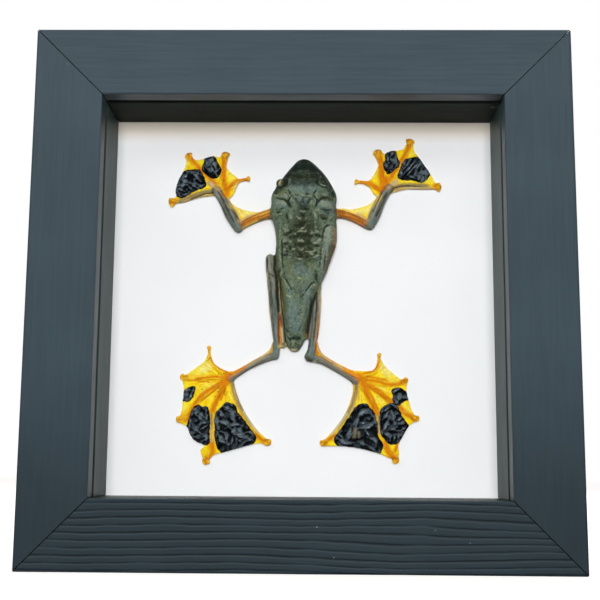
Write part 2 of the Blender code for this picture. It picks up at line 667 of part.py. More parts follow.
def build_frog(parts, additions, skin):
    """The dried frog: trunk, eyes, limbs, digits and webs joined in one solid."""
    frog = build_body(parts, skin)
    for kind, pair in {
        "upper_arm": UPPER_ARMS,
        "forearm": FOREARMS,
        "thigh": THIGHS,
        "shin": SHINS,
        "ankle": ANKLES,
    }.items():
        for side, stations in zip(("left", "right"), pair):
            add_tube(f"{side}_{kind}", stations, additions)
    add_digits("left_finger", LEFT_FINGERS, additions)
    add_digits("right_finger", RIGHT_FINGERS, additions)
    add_digits("left_toe", LEFT_TOES, additions)
    add_digits("right_toe", RIGHT_TOES, additions)
    add_web("left_hand_web", LEFT_HAND_WEB, additions)
    add_web("right_hand_web", RIGHT_HAND_WEB, additions)
    add_web("left_foot_web", LEFT_FOOT_WEB, additions)
    add_web("right_foot_web", RIGHT_FOOT_WEB, additions)
    for side, edge in zip(("left", "right"), ELBOW_WEBS):
        add_web(side + "_elbow_web", edge, additions)
    for side, (x, y, h, radius) in zip(("left", "right"), EYES):
        add_lump(side + "_eye", x, y, h, (radius, radius, radius), additions)
    for addition in additions.objects:
        addition.hide_render = True
        addition.display_type = "WIRE"
    union = frog.modifiers.new("Grown together", "BOOLEAN")
    union.operation = "UNION"
    union.operand_type = "COLLECTION"
    union.collection = additions


def new_collection(name):
    """An empty collection in the scene."""
    collection = bpy.data.collections.new(name)
    bpy.context.scene.collection.children.link(collection)
    return collection


def main():
    for thing in list(bpy.data.objects):
        bpy.data.objects.remove(thing, do_unlink=True)
    parts = new_collection("framed_tree_frog_specimen")
    cutters = new_collection("cutters")
    additions = new_collection("frog_additions")
    paint = finish("painted wood", PAINT, 0.45)
    clear = finish("clear glass", CLEAR, 0.0, transmission=1.0)
    card = finish("white card", CARD, 0.9)
    skin = finish("dried skin", SKIN, 0.5)
    fibre = finish("fibreboard", FIBRE, 0.8)
    steel = finish("zinc plated steel", STEEL, 0.35, metallic=1.0)

    centre = place("frame_centre", None, parts)
    centre.location = (0.0, 0.0, FRAME_HEIGHT / 2)
    build_rails(parts, cutters, centre, paint)
    build_spacers(parts, centre, paint)
    glass = slab("glass_pane", INSIDE_WIDTH, INSIDE_HEIGHT, GLASS_DEPTH, GLASS_THICKNESS)
    place("glass_pane", glass, parts, clear, centre)
    board = slab("mount_board", INSIDE_WIDTH, INSIDE_HEIGHT, BOARD_DEPTH, BOARD_THICKNESS)
    place("mount_board", board, parts, card, centre)
    build_backing(parts, cutters, centre, fibre)
    build_hanger(parts, cutters, steel)
    build_screw("hanger_screw_left", -SCREW_X, parts, steel)
    build_screw("hanger_screw_right", SCREW_X, parts, steel)
    build_tabs(parts, centre, steel)
    build_frog(parts, additions, skin)


main()
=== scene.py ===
"""The look of the framed tree frog specimen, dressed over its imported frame.

The frame stands on its lower rail. X is to the right, Z is up and the glass faces -Y, in metres.
The frog's landmarks are in millimetres on the board: x to the right and y up from its middle, and
height h out of its face.
"""

import math

import bpy
import numpy as np
from mathutils import Matrix, Vector


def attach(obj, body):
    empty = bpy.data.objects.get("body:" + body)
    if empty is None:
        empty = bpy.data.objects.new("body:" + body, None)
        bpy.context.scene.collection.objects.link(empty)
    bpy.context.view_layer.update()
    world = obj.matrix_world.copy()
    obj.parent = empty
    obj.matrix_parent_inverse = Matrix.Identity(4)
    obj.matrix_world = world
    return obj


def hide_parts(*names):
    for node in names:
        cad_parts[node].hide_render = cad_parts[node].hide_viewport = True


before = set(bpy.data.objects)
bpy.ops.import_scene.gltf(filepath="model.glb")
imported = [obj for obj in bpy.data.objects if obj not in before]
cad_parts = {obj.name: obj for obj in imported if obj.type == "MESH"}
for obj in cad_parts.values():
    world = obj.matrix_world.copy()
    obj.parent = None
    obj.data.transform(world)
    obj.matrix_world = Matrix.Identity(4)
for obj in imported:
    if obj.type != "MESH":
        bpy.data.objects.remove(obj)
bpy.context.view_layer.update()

MM = 0.001
GAP = 0.3 * MM


def points_of(numbers):
    """The points of a line or an edge that is written as x, y, x, y and so on."""
    return np.reshape(numbers, (-1, 2))


# Frame, from the outside inward and from the front back
FRAME_WIDTH = 200.0 * MM
FRAME_HEIGHT = 198.8 * MM
FRAME_DEPTH = 42.0 * MM
RAIL_FACE = 25.5 * MM
WALL = 19.2 * MM
LIP_DEPTH = 7.0 * MM
OUTER_ARRIS = 1.2 * MM
INNER_ARRIS = 0.5 * MM
MITRE_SETBACK = GAP / math.sqrt(2)
FRONT_Y = -FRAME_DEPTH / 2
BOARD_Y = 13.0 * MM

# Turn about Y, length and distance from the frame's middle of each side
SIDES = {
    "bottom": (0.0, FRAME_WIDTH, FRAME_HEIGHT / 2),
    "left": (math.radians(90), FRAME_HEIGHT, FRAME_WIDTH / 2),
    "top": (math.radians(180), FRAME_WIDTH, FRAME_HEIGHT / 2),
    "right": (math.radians(270), FRAME_HEIGHT, FRAME_WIDTH / 2),
}

# Depth of the raised grain in each rail's paint, its pitch across the rail, the mesh's step over
# it and where it starts
RAIL_GRAIN = {
    "bottom": (0.30 * MM, 2.6 * MM, 0.17 * MM, 3.0),
    "left": (0.030 * MM, 2.3 * MM, 0.30 * MM, 11.0),
    "top": (0.035 * MM, 2.0 * MM, 0.28 * MM, 23.0),
    "right": (0.030 * MM, 2.6 * MM, 0.30 * MM, 31.0),
}

# How far the wood's rings run along and across it before they wander, by how much they do, and
# their slant
GRAIN_RUN = 0.060
GRAIN_REACH = 0.011
GRAIN_DRIFT = 1.5 * MM
GRAIN_RIPPLE = 0.22 * MM
GRAIN_SLANT = 0.006

# A ring's relief: how much of it is slope, where in the ring it is highest, and its groove's place
# and width; then how deep grooves are, how unlike from ring to ring and along one, and the limits
RING_SLOPE = 0.38
RING_TOP = 0.64
GROOVE_PLACE = 0.5
GROOVE_SPREAD = 0.15
GROOVE_STRENGTH = 0.84
RING_UNLIKE = 0.14
GROOVE_FADING = 0.35
GROOVE_LIMITS = (0.2, 1.1)

# Meshing of a rail: stations along it, and steps round its section at the sides and where hidden
RAIL_STATIONS = 210
SIDE_STEP = 0.7 * MM
HIDDEN_STEP = 6.0 * MM

# Frog's body from snout to vent: y, left edge, right edge, height of the back
BODY_SECTIONS = (
    (58.0, -0.6, 1.2, 3.4), (57.2, -2.4, 3.0, 4.2), (55.5, -4.0, 4.9, 5.3), (52.5, -6.3, 7.6, 6.7),
    (49.5, -8.6, 9.8, 7.8), (46.0, -10.8, 11.8, 8.4), (42.5, -12.5, 13.2, 8.6), (39.0, -12.5, 12.9, 9.0),
    (35.5, -13.0, 13.3, 9.2), (32.0, -11.8, 13.1, 8.8), (28.0, -10.8, 13.4, 8.5),
    (23.0, -10.5, 13.0, 8.4), (18.0, -10.8, 11.3, 8.6), (13.0, -10.4, 9.6, 8.8), (8.5, -9.1, 7.6, 8.7),
    (3.5, -8.0, 5.3, 8.1), (-2.0, -7.4, 3.3, 7.3), (-8.0, -6.9, 2.0, 6.3), (-13.0, -6.6, 1.3, 5.2),
    (-16.3, -5.9, 0.0, 4.6), (-18.6, -4.2, -1.9, 3.2),
)
BODY_SQUARENESS = 0.84
BELLY_HEIGHT = 0.35
WAIST_SHARE = 0.36

# Ridges and hollows of the back: x, y to x, y, spread and rise, which is negative in a hollow
BACK_FORMS = (
    (-9.0, 38.5, -10.0, 38.0, 2.4, 0.7), (9.4, 38.5, 10.0, 38.2, 2.4, 0.7),
    (-8.8, 33.8, -7.6, 30.5, 1.8, 0.6), (8.6, 33.6, 7.4, 30.5, 1.8, 0.5),
    (-11.5, 42.4, -6.2, 40.4, 1.3, -0.8), (11.8, 42.6, 6.4, 40.4, 1.3, -0.8),
    (-5.0, 39.0, -1.0, 33.5, 1.4, -0.6), (4.8, 39.0, 1.0, 33.5, 1.4, -0.6),
    (0.0, 41.5, 0.0, 37.5, 2.6, 0.4), (-9.3, 29.0, -9.2, 13.0, 1.3, 0.7),
    (7.6, 29.0, 7.6, 12.0, 1.3, 0.7), (11.0, 28.5, 10.4, 22.0, 2.0, 0.7),
    (-0.6, 31.0, -1.2, 12.0, 1.6, 0.4), (-6.8, 9.3, -2.8, 3.6, 1.1, -0.6),
    (5.0, 8.8, 0.2, 3.4, 1.1, -0.6), (-6.2, 5.5, -4.4, -9.5, 1.4, 0.7), (3.2, 6.5, -1.2, -9.5, 1.4, 0.7),
    (-5.0, -13.4, -0.6, -13.4, 1.1, -0.9), (-3.4, -16.2, -2.6, -16.2, 1.6, 0.5),
    (0.2, 55.5, 0.2, 51.0, 2.4, -0.4),
)

# Limbs, from the body outward: x, y, height of the middle and radius
UPPER_ARMS = (
    ((-9.5, 36.2, 3.4, 2.0), (-14.0, 35.7, 2.6, 1.8), (-19.0, 33.9, 2.2, 1.6), (-24.5, 31.2, 2.1, 1.6)),
    ((9.5, 36.0, 3.4, 2.0), (15.0, 35.9, 2.6, 1.6), (20.0, 34.3, 2.2, 1.5), (25.8, 31.4, 2.1, 1.6)),
)
FOREARMS = (
    ((-25.5, 30.2, 2.4, 1.9), (-28.3, 34.9, 2.7, 2.3), (-31.0, 40.0, 2.3, 1.9), (-34.6, 45.2, 1.9, 1.5)),
    ((26.6, 31.5, 2.4, 1.8), (28.0, 35.0, 2.7, 2.2), (30.9, 41.5, 2.3, 1.9), (34.0, 46.3, 1.9, 1.5)),
)
THIGHS = (
    ((-11.6, 17.5, 2.2, 1.7), (-9.2, 6.0, 2.0, 1.6), (-8.2, -4.0, 1.9, 1.5), (-7.2, -16.0, 1.8, 1.3)),
    ((10.8, 27.0, 3.0, 2.4), (6.6, 12.0, 2.4, 1.9), (3.0, -2.0, 2.0, 1.6), (1.0, -13.0, 1.8, 1.2)),
)
SHINS = (
    (
        (-12.7, 17.6, 3.2, 1.9), (-12.3, 13.0, 3.0, 2.1), (-11.4, 4.0, 2.7, 2.0), (-10.8, -4.0, 2.5, 1.9),
        (-10.2, -11.0, 2.1, 1.5), (-9.8, -17.0, 1.9, 1.3), (-10.2, -20.3, 1.9, 1.5),
    ),
    (
        (8.2, 20.0, 3.0, 2.0), (5.7, 9.0, 2.8, 1.9), (5.3, 0.0, 2.6, 1.9), (4.8, -8.0, 2.4, 2.0),
        (4.2, -14.0, 2.2, 1.7), (3.5, -18.5, 2.1, 1.6), (2.7, -20.6, 2.3, 1.9),
    ),
)
ANKLES = (
    (
        (-10.0, -20.2, 1.7, 1.3), (-15.5, -22.1, 1.5, 1.1), (-21.0, -25.2, 1.4, 0.9),
        (-27.2, -29.0, 1.4, 1.1),
    ),
    ((3.2, -21.0, 1.9, 1.6), (8.0, -22.5, 1.6, 1.2), (14.0, -26.0, 1.4, 1.0), (20.3, -29.8, 1.4, 1.1)),
)

# Fingers and toes, from the palm or the sole to the tip: x and y of each point
LEFT_FINGERS = (
    (-32.5, 46.0, -28.5, 48.2, -25.4, 49.6, -22.0, 50.3),
    (-33.5, 46.5, -31.9, 51.5, -31.4, 56.0, -31.1, 60.0),
    (-35.0, 46.5, -40.4, 52.6, -43.6, 56.2, -45.7, 59.6),
    (-34.5, 45.0, -41.0, 44.0, -46.5, 41.9, -51.8, 40.7),
)
RIGHT_FINGERS = (
    (32.0, 45.5, 28.0, 47.3, 24.8, 48.9, 21.2, 49.2),
    (33.0, 46.5, 31.2, 52.0, 30.9, 56.5, 29.5, 61.0),
    (34.0, 47.5, 38.3, 56.0, 41.2, 61.2, 42.4, 65.5),
    (34.5, 46.3, 41.0, 47.8, 47.0, 47.4, 53.2, 47.2),
)
LEFT_TOES = (
    (-28.0, -28.6, -33.2, -25.1, -35.6, -21.6, -36.1, -17.4),
    (-27.8, -28.9, -36.0, -28.8, -42.0, -28.9, -46.0, -28.6),
    (-28.0, -29.2, -36.5, -34.8, -41.5, -39.6, -47.0, -44.9),
    (-28.0, -29.4, -33.0, -37.5, -34.6, -45.0, -34.5, -54.5, -36.4, -60.6),
    (-27.2, -29.2, -25.9, -34.5, -22.8, -41.5, -17.6, -49.0, -13.0, -53.3),
)
RIGHT_TOES = (
    (21.2, -28.8, 27.2, -26.5, 29.3, -23.6, 29.8, -19.8),
    (21.9, -29.4, 30.0, -31.0, 36.0, -31.0, 39.8, -29.4),
    (22.1, -30.1, 30.0, -34.2, 36.5, -40.0, 43.8, -44.0),
    (21.4, -30.6, 26.3, -36.0, 29.4, -44.0, 31.0, -53.0, 35.8, -59.8),
    (20.4, -30.0, 20.0, -35.5, 17.2, -42.5, 12.6, -49.0, 8.3, -53.5),
)
TIP_RADII = {
    "left_finger": (1.3, 1.9, 1.8, 2.1),
    "right_finger": (1.3, 2.0, 2.0, 2.0),
    "left_toe": (1.3, 1.7, 1.9, 2.1, 2.0),
    "right_toe": (1.25, 1.6, 1.8, 2.0, 1.9),
}
DIGIT_BASE_RADIUS = 0.8
DIGIT_TIP_RADIUS = 0.6
DIGIT_REST = 0.45
PAD_HALF_THICKNESS = 0.5

# Webs: x and y of the points round each edge. The tips of fingers and toes stand out past it
WEB_HEIGHT = 0.65
WEB_THICKNESS = 0.5
LEFT_HAND_WEB = (
    -28.9, 42.6, -27.3, 44.3, -26.5, 46.4, -25.4, 48.9, -25.6, 50.3, -28.4, 52.7, -30.3, 54.6,
    -30.6, 56.5, -30.0, 58.8, -32.6, 60.0, -33.8, 59.3, -36.2, 59.9, -40.0, 58.7, -43.2, 58.3,
    -44.6, 59.6, -47.0, 59.0, -46.8, 57.0, -48.2, 53.0, -49.8, 50.0, -51.0, 45.4, -50.5, 43.3,
    -51.8, 42.0, -52.0, 40.3, -47.0, 40.6, -41.7, 42.4, -35.6, 43.1, -32.0, 42.0,
)
RIGHT_HAND_WEB = (
    28.8, 43.6, 27.2, 45.0, 26.2, 46.9, 24.2, 48.3, 24.6, 49.6, 26.4, 50.1, 28.7, 54.0, 29.7, 56.4,
    28.4, 60.0, 31.3, 61.3, 32.5, 60.9, 34.0, 61.9, 36.4, 62.3, 39.6, 62.7, 40.7, 64.6, 43.9, 64.2,
    44.2, 62.0, 46.6, 58.6, 50.5, 52.7, 52.2, 49.5, 53.0, 46.6, 47.0, 46.0, 41.0, 46.1, 36.0, 44.8,
    32.0, 43.0,
)
LEFT_FOOT_WEB = (
    -11.4, -14.6, -12.9, -17.8, -15.9, -20.1, -20.4, -22.7, -26.0, -25.9, -29.5, -25.9, -34.2, -23.2,
    -35.3, -20.4, -36.9, -20.2, -38.2, -22.6, -44.5, -27.4, -46.2, -29.8, -45.8, -33.0, -46.3, -41.0,
    -47.0, -44.0, -46.2, -46.6, -44.2, -47.8, -42.5, -51.6, -40.3, -53.6, -37.1, -54.9, -38.8, -56.5,
    -37.4, -60.2, -35.2, -60.2, -33.2, -58.4, -29.6, -57.5, -18.5, -54.4, -15.3, -54.1, -13.8, -54.8,
    -13.0, -52.6, -17.4, -48.4, -22.8, -41.5, -25.4, -35.0, -26.4, -30.4, -21.0, -25.6, -15.5, -22.4,
    -10.6, -20.2,
)
RIGHT_FOOT_WEB = (
    5.8, -14.6, 7.2, -18.0, 9.6, -20.4, 15.3, -23.6, 19.6, -25.5, 26.6, -25.7, 28.5, -24.3, 29.1, -21.4,
    30.4, -21.2, 32.4, -24.2, 38.3, -29.1, 40.6, -30.2, 40.4, -33.5, 42.0, -40.0, 43.2, -42.6,
    43.0, -45.5, 41.2, -47.0, 38.6, -51.4, 37.2, -54.2, 37.2, -58.6, 34.8, -59.7, 29.8, -57.7,
    22.0, -55.7, 14.5, -54.9, 9.0, -54.8, 8.8, -52.6, 12.2, -49.0, 17.0, -42.4, 19.4, -36.0, 19.8, -31.5,
    14.0, -26.8, 8.0, -23.2, 4.0, -21.5,
)
ELBOW_WEBS = (
    (
        -12.0, 37.3, -19.0, 37.0, -24.5, 38.2, -28.0, 40.3, -30.0, 43.0, -32.0, 42.0, -28.0, 34.5,
        -24.8, 31.6, -18.0, 34.3, -12.0, 35.5,
    ),
    (
        12.2, 38.5, 19.5, 38.3, 25.0, 39.8, 28.0, 42.0, 29.6, 44.2, 31.4, 43.0, 28.0, 35.5, 25.6, 32.0,
        19.0, 35.0, 12.2, 36.0,
    ),
)
EYES = ((-8.8, 47.2, 5.5, 1.9), (8.3, 47.7, 5.9, 1.7))
LIMBS = (*UPPER_ARMS, *FOREARMS, *THIGHS, *SHINS, *ANKLES)
DIGITS = {
    "left_finger": [points_of(digit) for digit in LEFT_FINGERS],
    "right_finger": [points_of(digit) for digit in RIGHT_FINGERS],
    "left_toe": [points_of(digit) for digit in LEFT_TOES],
    "right_toe": [points_of(digit) for digit in RIGHT_TOES],
}
HAND_AND_FOOT_WEBS = (LEFT_HAND_WEB, RIGHT_HAND_WEB, LEFT_FOOT_WEB, RIGHT_FOOT_WEB)
WEBS = [points_of(edge) for edge in (*HAND_AND_FOOT_WEBS, *ELBOW_WEBS)]

# Sides of the shells' rings, and how far round each ring of a limb's rounded end stands
BODY_SIDES = 64
LIMB_SIDES = 14
DIGIT_SIDES = 10
END_TURNS = (0.25, 0.5, 0.8)

# Pads at the tips, in shares of their radius: the middle, its two lobes and how far these spread
PAD_MIDDLE = 0.78
PAD_LOBE = 0.52
FINGER_FLARE = 0.50
TOE_FLARE = 0.34

# Voxel that the grown-together frog is meshed with, in mm, and how its steps are smoothed away
SKIN_VOXEL = 0.365
SKIN_ROUNDS = 3
HOLLOW_ROUNDS = 10
RELAXING = 0.5
LOWEST_SKIN = 0.12

# Relief of the skin, in mm or as a share
FORM_SHARE = 0.9
FOLD_SHARE = 0.65
BODY_FINE = 0.10
BODY_BROAD = 0.14
LIMB_STREAK = 0.16
LIMB_FINE = 0.05
WEB_LIFT = 0.16
WEB_WAVE = 0.30
WEB_RAY = 0.10
WEB_CROWN = 0.95
WEB_SINKING = 0.55
TENDON_OFFSET = 0.95
TENDON_SPREAD = 0.22
TENDON_PINCH = -0.10
PATCH_LEVEL = 0.30
FACET_RISE = 0.40

# How uneven the lines of folds and facets are along their run
UNEVEN_LINES = 0.45

# Wrinkles, in mm from the middle of the board: where they start, are full, start to fade and end
# along the back and the head, and where the back's fade to its sides
BACK_BAND = (14.5, 18.5, 29.5, 32.0)
HEAD_BAND = (30.0, 33.0, 50.0, 55.0)
BACK_SIDES = (6.5, 8.5)

# Scale for noise that is the same at every height
IN_PLAN = (1.0, 1.0, 0.0)

# More than any distance that matters on the frog, in mm
FAR = 9.0

# Creases and ridges: lift, which is negative in a crease, spread, then x and y of each point
FOLDS = (
    # Snout and eyes
    (-0.25, 0.35, -3.6, 53.8, -3.4, 53.2), (0.35, 0.3, -2.6, 52.6, -1.0, 52.2, 0.6, 52.6, 2.4, 52.3),
    (0.3, 0.28, -1.6, 53.8, -0.4, 54.4), (0.3, 0.28, 1.0, 53.6, 2.2, 53.2),
    (-0.3, 0.3, -3.0, 51.4, -0.6, 51.2, 2.0, 51.5, 3.4, 51.2), (0.28, 0.35, -4.8, 50.6, -3.8, 51.6),
    (0.28, 0.3, 8.4, 50.4, 9.6, 49.2), (0.3, 0.28, 11.2, 46.6, 11.9, 44.8, 12.6, 42.6),
    (-0.35, 0.3, 11.4, 44.6, 11.9, 42.8, 12.1, 40.6), (0.25, 0.28, -12.0, 42.0, -12.6, 40.2),
    (-0.25, 0.35, 4.0, 54.0, 3.9, 53.4), (0.35, 0.35, -4.0, 54.4, -4.3, 53.0, -5.2, 51.8, -6.6, 50.6),
    (-0.3, 0.35, -3.6, 52.6, -4.6, 51.0, -5.6, 49.6),
    (0.45, 0.35, 4.3, 54.8, 5.6, 53.0, 6.4, 51.6, 7.5, 50.3),
    (-0.35, 0.35, 3.8, 53.6, 5.0, 51.8, 5.6, 50.0), (0.25, 0.3, -1.6, 55.2, 0.4, 55.4, 2.4, 55.0),
    (-0.2, 0.3, -2.4, 53.6, 0.2, 53.9, 2.6, 53.4), (0.2, 0.4, -2.6, 51.8, 0.4, 52.2, 3.0, 51.7),
    (-0.4, 0.3, 8.2, 49.0, 9.5, 48.2, 10.3, 47.2),
    (0.22, 0.3, 6.2, 48.6, 6.3, 47.0, 7.2, 46.2, 8.7, 45.9, 10.2, 45.4),
    (-0.35, 0.25, 6.6, 45.7, 7.6, 45.4, 9.0, 45.3), (-0.3, 0.35, 5.4, 48.8, 5.4, 46.8, 6.0, 45.4),
    (-0.35, 0.4, -6.6, 48.6, -6.4, 46.8, -7.4, 45.6, -9.2, 45.1),
    (0.3, 0.45, -5.3, 49.8, -5.4, 48.0, -5.6, 46.4), (0.2, 0.5, -3.2, 47.4, -1.4, 46.8),
    (0.25, 0.5, 2.2, 45.2, 3.8, 44.3),
    # Plates behind the eyes
    (-0.4, 0.25, -5.9, 43.9, -5.2, 43.0, -4.9, 42.1),
    (-0.45, 0.3, -4.3, 41.7, -5.1, 40.9, -5.6, 39.8, -5.5, 38.6),
    (-0.4, 0.25, 5.5, 44.0, 4.6, 43.2, 4.2, 42.2),
    (-0.45, 0.3, 3.8, 41.7, 4.8, 41.0, 5.5, 39.9, 5.4, 38.6),
    (0.2, 0.22, -5.1, 41.9, -4.5, 40.7, -4.9, 39.8), (0.3, 0.22, 4.7, 41.8, 5.2, 40.8, 4.9, 40.2),
    (-0.4, 0.22, -3.3, 42.1, -2.4, 41.9, -1.7, 41.7), (-0.4, 0.22, 0.7, 41.7, 1.4, 42.0, 2.4, 42.2),
    (0.35, 0.28, -0.6, 42.1, 0.5, 41.6, 2.0, 41.4, 3.5, 41.3),
    (-0.3, 0.25, -1.2, 41.3, 0.4, 40.9, 1.8, 41.0, 3.3, 40.8),
    (-0.42, 0.45, -10.5, 41.4, -9.0, 40.4, -7.6, 40.0, -6.3, 39.3, -5.2, 38.2, -4.7, 37.0),
    (-0.3, 0.3, -9.9, 41.0, -8.2, 40.6, -6.8, 40.0),
    (-0.42, 0.45, 9.4, 41.3, 7.8, 41.0, 6.8, 40.2, 5.8, 39.2, 5.2, 38.0, 4.5, 36.4),
    (-0.35, 0.6, 8.0, 40.2, 9.2, 39.0), (0.35, 0.6, -11.8, 42.8, -10.4, 42.2, -8.2, 42.0),
    (0.3, 0.5, 7.2, 42.4, 10.0, 42.2), (0.4, 0.7, -9.4, 39.3, -7.6, 38.8, -6.4, 37.6),
    (0.4, 0.6, 6.8, 38.6, 8.4, 37.9, 11.4, 37.2), (0.3, 0.5, -3.9, 40.4, -3.6, 38.4),
    (0.25, 0.5, 3.3, 39.8, 3.2, 37.8), (0.2, 0.5, -1.2, 38.6, 0.4, 37.6),
    (-0.28, 0.25, -11.4, 36.3, -9.4, 36.2, -7.0, 36.6), (-0.3, 0.5, -10.6, 35.2, -8.0, 35.1),
    (0.25, 0.4, -12.0, 34.4, -9.4, 34.2, -7.2, 34.6), (-0.3, 0.3, -11.4, 33.2, -9.6, 32.8),
    (-0.45, 0.3, -6.2, 34.6, -6.1, 33.0, -5.7, 31.6), (0.35, 0.4, -5.2, 34.4, -4.8, 33.2, -4.3, 32.2),
    (-0.3, 0.4, 6.6, 36.4, 8.8, 36.0, 11.6, 36.4), (-0.18, 0.9, 8.2, 35.2, 9.6, 34.8, 10.8, 35.0),
    (-0.4, 0.6, 7.0, 32.8, 8.2, 32.5, 9.2, 32.8),
    (0.45, 0.22, 12.3, 35.3, 11.7, 34.3, 10.7, 33.2, 9.9, 32.6),
    (0.3, 0.4, 6.4, 36.8, 6.2, 35.6, 6.6, 34.4), (0.35, 0.5, 4.5, 34.6, 5.1, 33.4, 5.6, 32.4),
    (-0.35, 0.3, 5.9, 34.0, 6.0, 32.4, 5.8, 31.0), (-0.35, 0.4, -1.4, 36.4, 0.4, 36.1, 2.6, 36.4),
    (0.3, 0.35, -0.8, 35.3, 0.2, 35.1, 1.0, 35.3),
    (-0.45, 0.3, -1.4, 34.9, -0.6, 34.2, 0.1, 33.6, 0.7, 34.2, 1.5, 34.8),
    (-0.25, 0.4, -3.4, 35.4, -2.8, 33.8), (-0.3, 0.5, 2.8, 35.4, 3.4, 33.6),
    (0.3, 0.45, -2.4, 33.2, -1.2, 32.4, -0.2, 32.8), (0.3, 0.45, 0.8, 32.6, 2.0, 33.0),
    (-0.4, 0.5, -2.4, 31.2, -0.2, 30.7, 1.8, 31.2),
    # Crumples over the spine and ribs
    (-0.5, 0.75, -3.0, 29.6, -0.5, 29.9, 1.2, 30.4), (-0.5, 0.7, 1.8, 29.0, 2.8, 28.6),
    (-0.45, 0.6, -3.4, 28.4, -4.6, 27.6, -5.4, 26.8, -7.2, 26.2),
    (-0.6, 0.8, -2.0, 26.2, 0.3, 26.1, 1.8, 25.6, 3.6, 25.6),
    (-0.45, 0.8, -5.4, 25.4, -3.8, 25.2, -1.4, 25.3), (-0.5, 0.55, 5.0, 26.3, 6.2, 25.8, 7.2, 25.3),
    (-0.6, 0.75, -2.2, 22.3, -0.6, 22.2, 0.9, 22.4), (-0.35, 0.6, -3.6, 22.6, -2.4, 21.6),
    (-0.5, 0.5, -7.6, 22.4, -6.6, 22.6, -5.6, 22.6), (-0.3, 0.4, -7.4, 21.6, -7.0, 21.2),
    (-0.35, 0.6, -5.0, 21.8, -4.4, 19.4), (-0.45, 0.5, 2.4, 20.9, 3.2, 20.7, 3.8, 21.3),
    (-0.5, 0.45, 4.6, 22.0, 5.6, 21.8, 6.8, 21.6), (-0.35, 0.6, 1.8, 24.6, 2.6, 23.2, 3.4, 22.8),
    (-0.5, 0.45, -7.4, 18.3, -6.6, 18.2, -5.8, 18.3), (-0.35, 0.35, -6.6, 19.6, -5.6, 19.5),
    (-0.45, 0.7, -1.8, 18.9, -0.4, 18.6, 0.8, 18.7), (-0.35, 0.4, 4.6, 19.1, 5.6, 18.9),
    (-0.35, 0.4, 1.3, 17.4, 2.4, 17.5, 4.0, 17.7),
    (-0.3, 0.35, -2.4, 16.6, -1.8, 17.2, 0.4, 17.3, 1.0, 16.6),
    (-0.25, 0.3, 2.4, 15.6, 2.9, 16.4, 4.6, 16.5, 5.4, 16.2), (0.6, 0.45, -7.2, 27.6, -6.5, 27.6),
    (0.25, 0.35, -6.0, 27.7, -5.5, 27.6), (0.35, 0.35, -3.2, 26.2, -2.7, 26.4),
    (0.25, 0.3, -2.9, 28.3, -2.5, 28.6), (0.35, 0.32, -0.8, 28.2, -0.4, 28.7, 0.2, 28.2),
    (0.35, 0.45, -1.9, 27.5, -0.4, 27.4, 1.3, 27.4), (0.4, 0.4, 2.8, 26.6, 3.9, 26.7),
    (0.4, 0.45, 4.9, 27.5, 5.8, 27.4, 6.6, 27.0), (0.35, 0.6, 4.9, 29.6, 5.2, 28.6),
    (0.35, 0.38, -5.5, 23.7, -4.9, 23.5, -4.2, 23.0),
    (0.4, 0.3, -1.9, 23.7, -1.2, 23.5, -0.3, 23.6, 0.8, 23.6), (0.25, 0.25, -0.4, 23.9, -0.3, 24.4),
    (0.35, 0.55, -7.3, 24.4, -6.4, 23.8), (0.35, 0.4, 3.9, 22.8, 4.8, 23.1, 6.0, 22.7),
    (0.35, 0.5, 5.8, 24.2, 6.8, 23.8), (0.35, 0.3, -4.1, 20.3, -3.5, 20.5),
    (0.4, 0.38, -0.7, 20.2, -0.1, 20.3, 0.4, 20.8), (0.35, 0.28, -7.5, 20.3, -6.4, 20.2, -5.2, 20.1),
    (0.3, 0.28, -7.2, 19.0, -6.0, 18.9), (0.35, 0.42, -6.9, 17.5, -5.8, 17.3, -4.6, 17.3),
    (0.35, 0.33, 1.4, 19.5, 2.8, 19.5, 4.2, 19.6, 5.2, 20.2, 6.4, 20.0),
    (0.3, 0.33, 2.6, 18.8, 3.8, 18.6), (0.35, 0.38, 4.6, 17.2, 5.4, 17.7, 6.2, 18.3),
    (0.25, 0.4, -1.6, 16.4, -0.2, 16.3),
    # Flanks
    (-0.5, 0.38, 7.5, 22.4, 7.8, 26.0, 8.2, 28.4, 9.2, 29.7, 10.2, 30.2, 12.6, 30.3),
    (-0.5, 0.35, -8.1, 26.0, -8.0, 22.0, -7.9, 18.0, -7.6, 14.0, -7.5, 11.6),
    (0.22, 0.3, -8.9, 29.5, -8.9, 24.0, -8.6, 18.0, -8.4, 12.6),
    (-0.12, 0.35, -9.5, 28.5, -9.6, 20.0, -9.5, 13.0),
    (-0.28, 0.33, 7.5, 22.0, 7.0, 19.0, 6.8, 15.6, 6.4, 13.0),
    (0.18, 0.4, 8.4, 23.0, 8.0, 20.0, 7.5, 15.0, 7.3, 10.0), (-0.3, 0.4, 9.2, 21.6, 8.7, 18.0, 8.4, 13.0),
    (0.25, 0.3, 10.4, 27.6, 10.2, 24.6),
    # Hips and rump
    (-0.45, 0.28, -7.3, 9.9, -6.0, 8.0, -5.0, 6.3, -3.8, 3.7),
    (0.25, 0.3, -7.6, 9.1, -6.4, 7.2, -5.4, 5.5), (-0.5, 0.28, 5.9, 7.8, 4.2, 7.5, 2.5, 5.6, 0.2, 2.3),
    (0.25, 0.3, 5.6, 6.7, 4.2, 6.5, 2.9, 4.9), (-0.3, 0.3, 5.0, 11.7, 5.2, 9.3, 5.9, 7.7),
    (-0.45, 0.5, -7.2, 11.3, -6.9, 10.3), (0.4, 0.4, -8.6, 10.5, -7.8, 11.7),
    (0.25, 0.4, -4.6, 7.7, -3.4, 5.9), (0.22, 0.4, 4.2, 6.3, 2.8, 2.7, 2.6, 0.0, 2.0, -2.4),
    (0.16, 0.4, 3.6, -1.6, 2.0, -5.0, 0.4, -9.0, -1.0, -12.0),
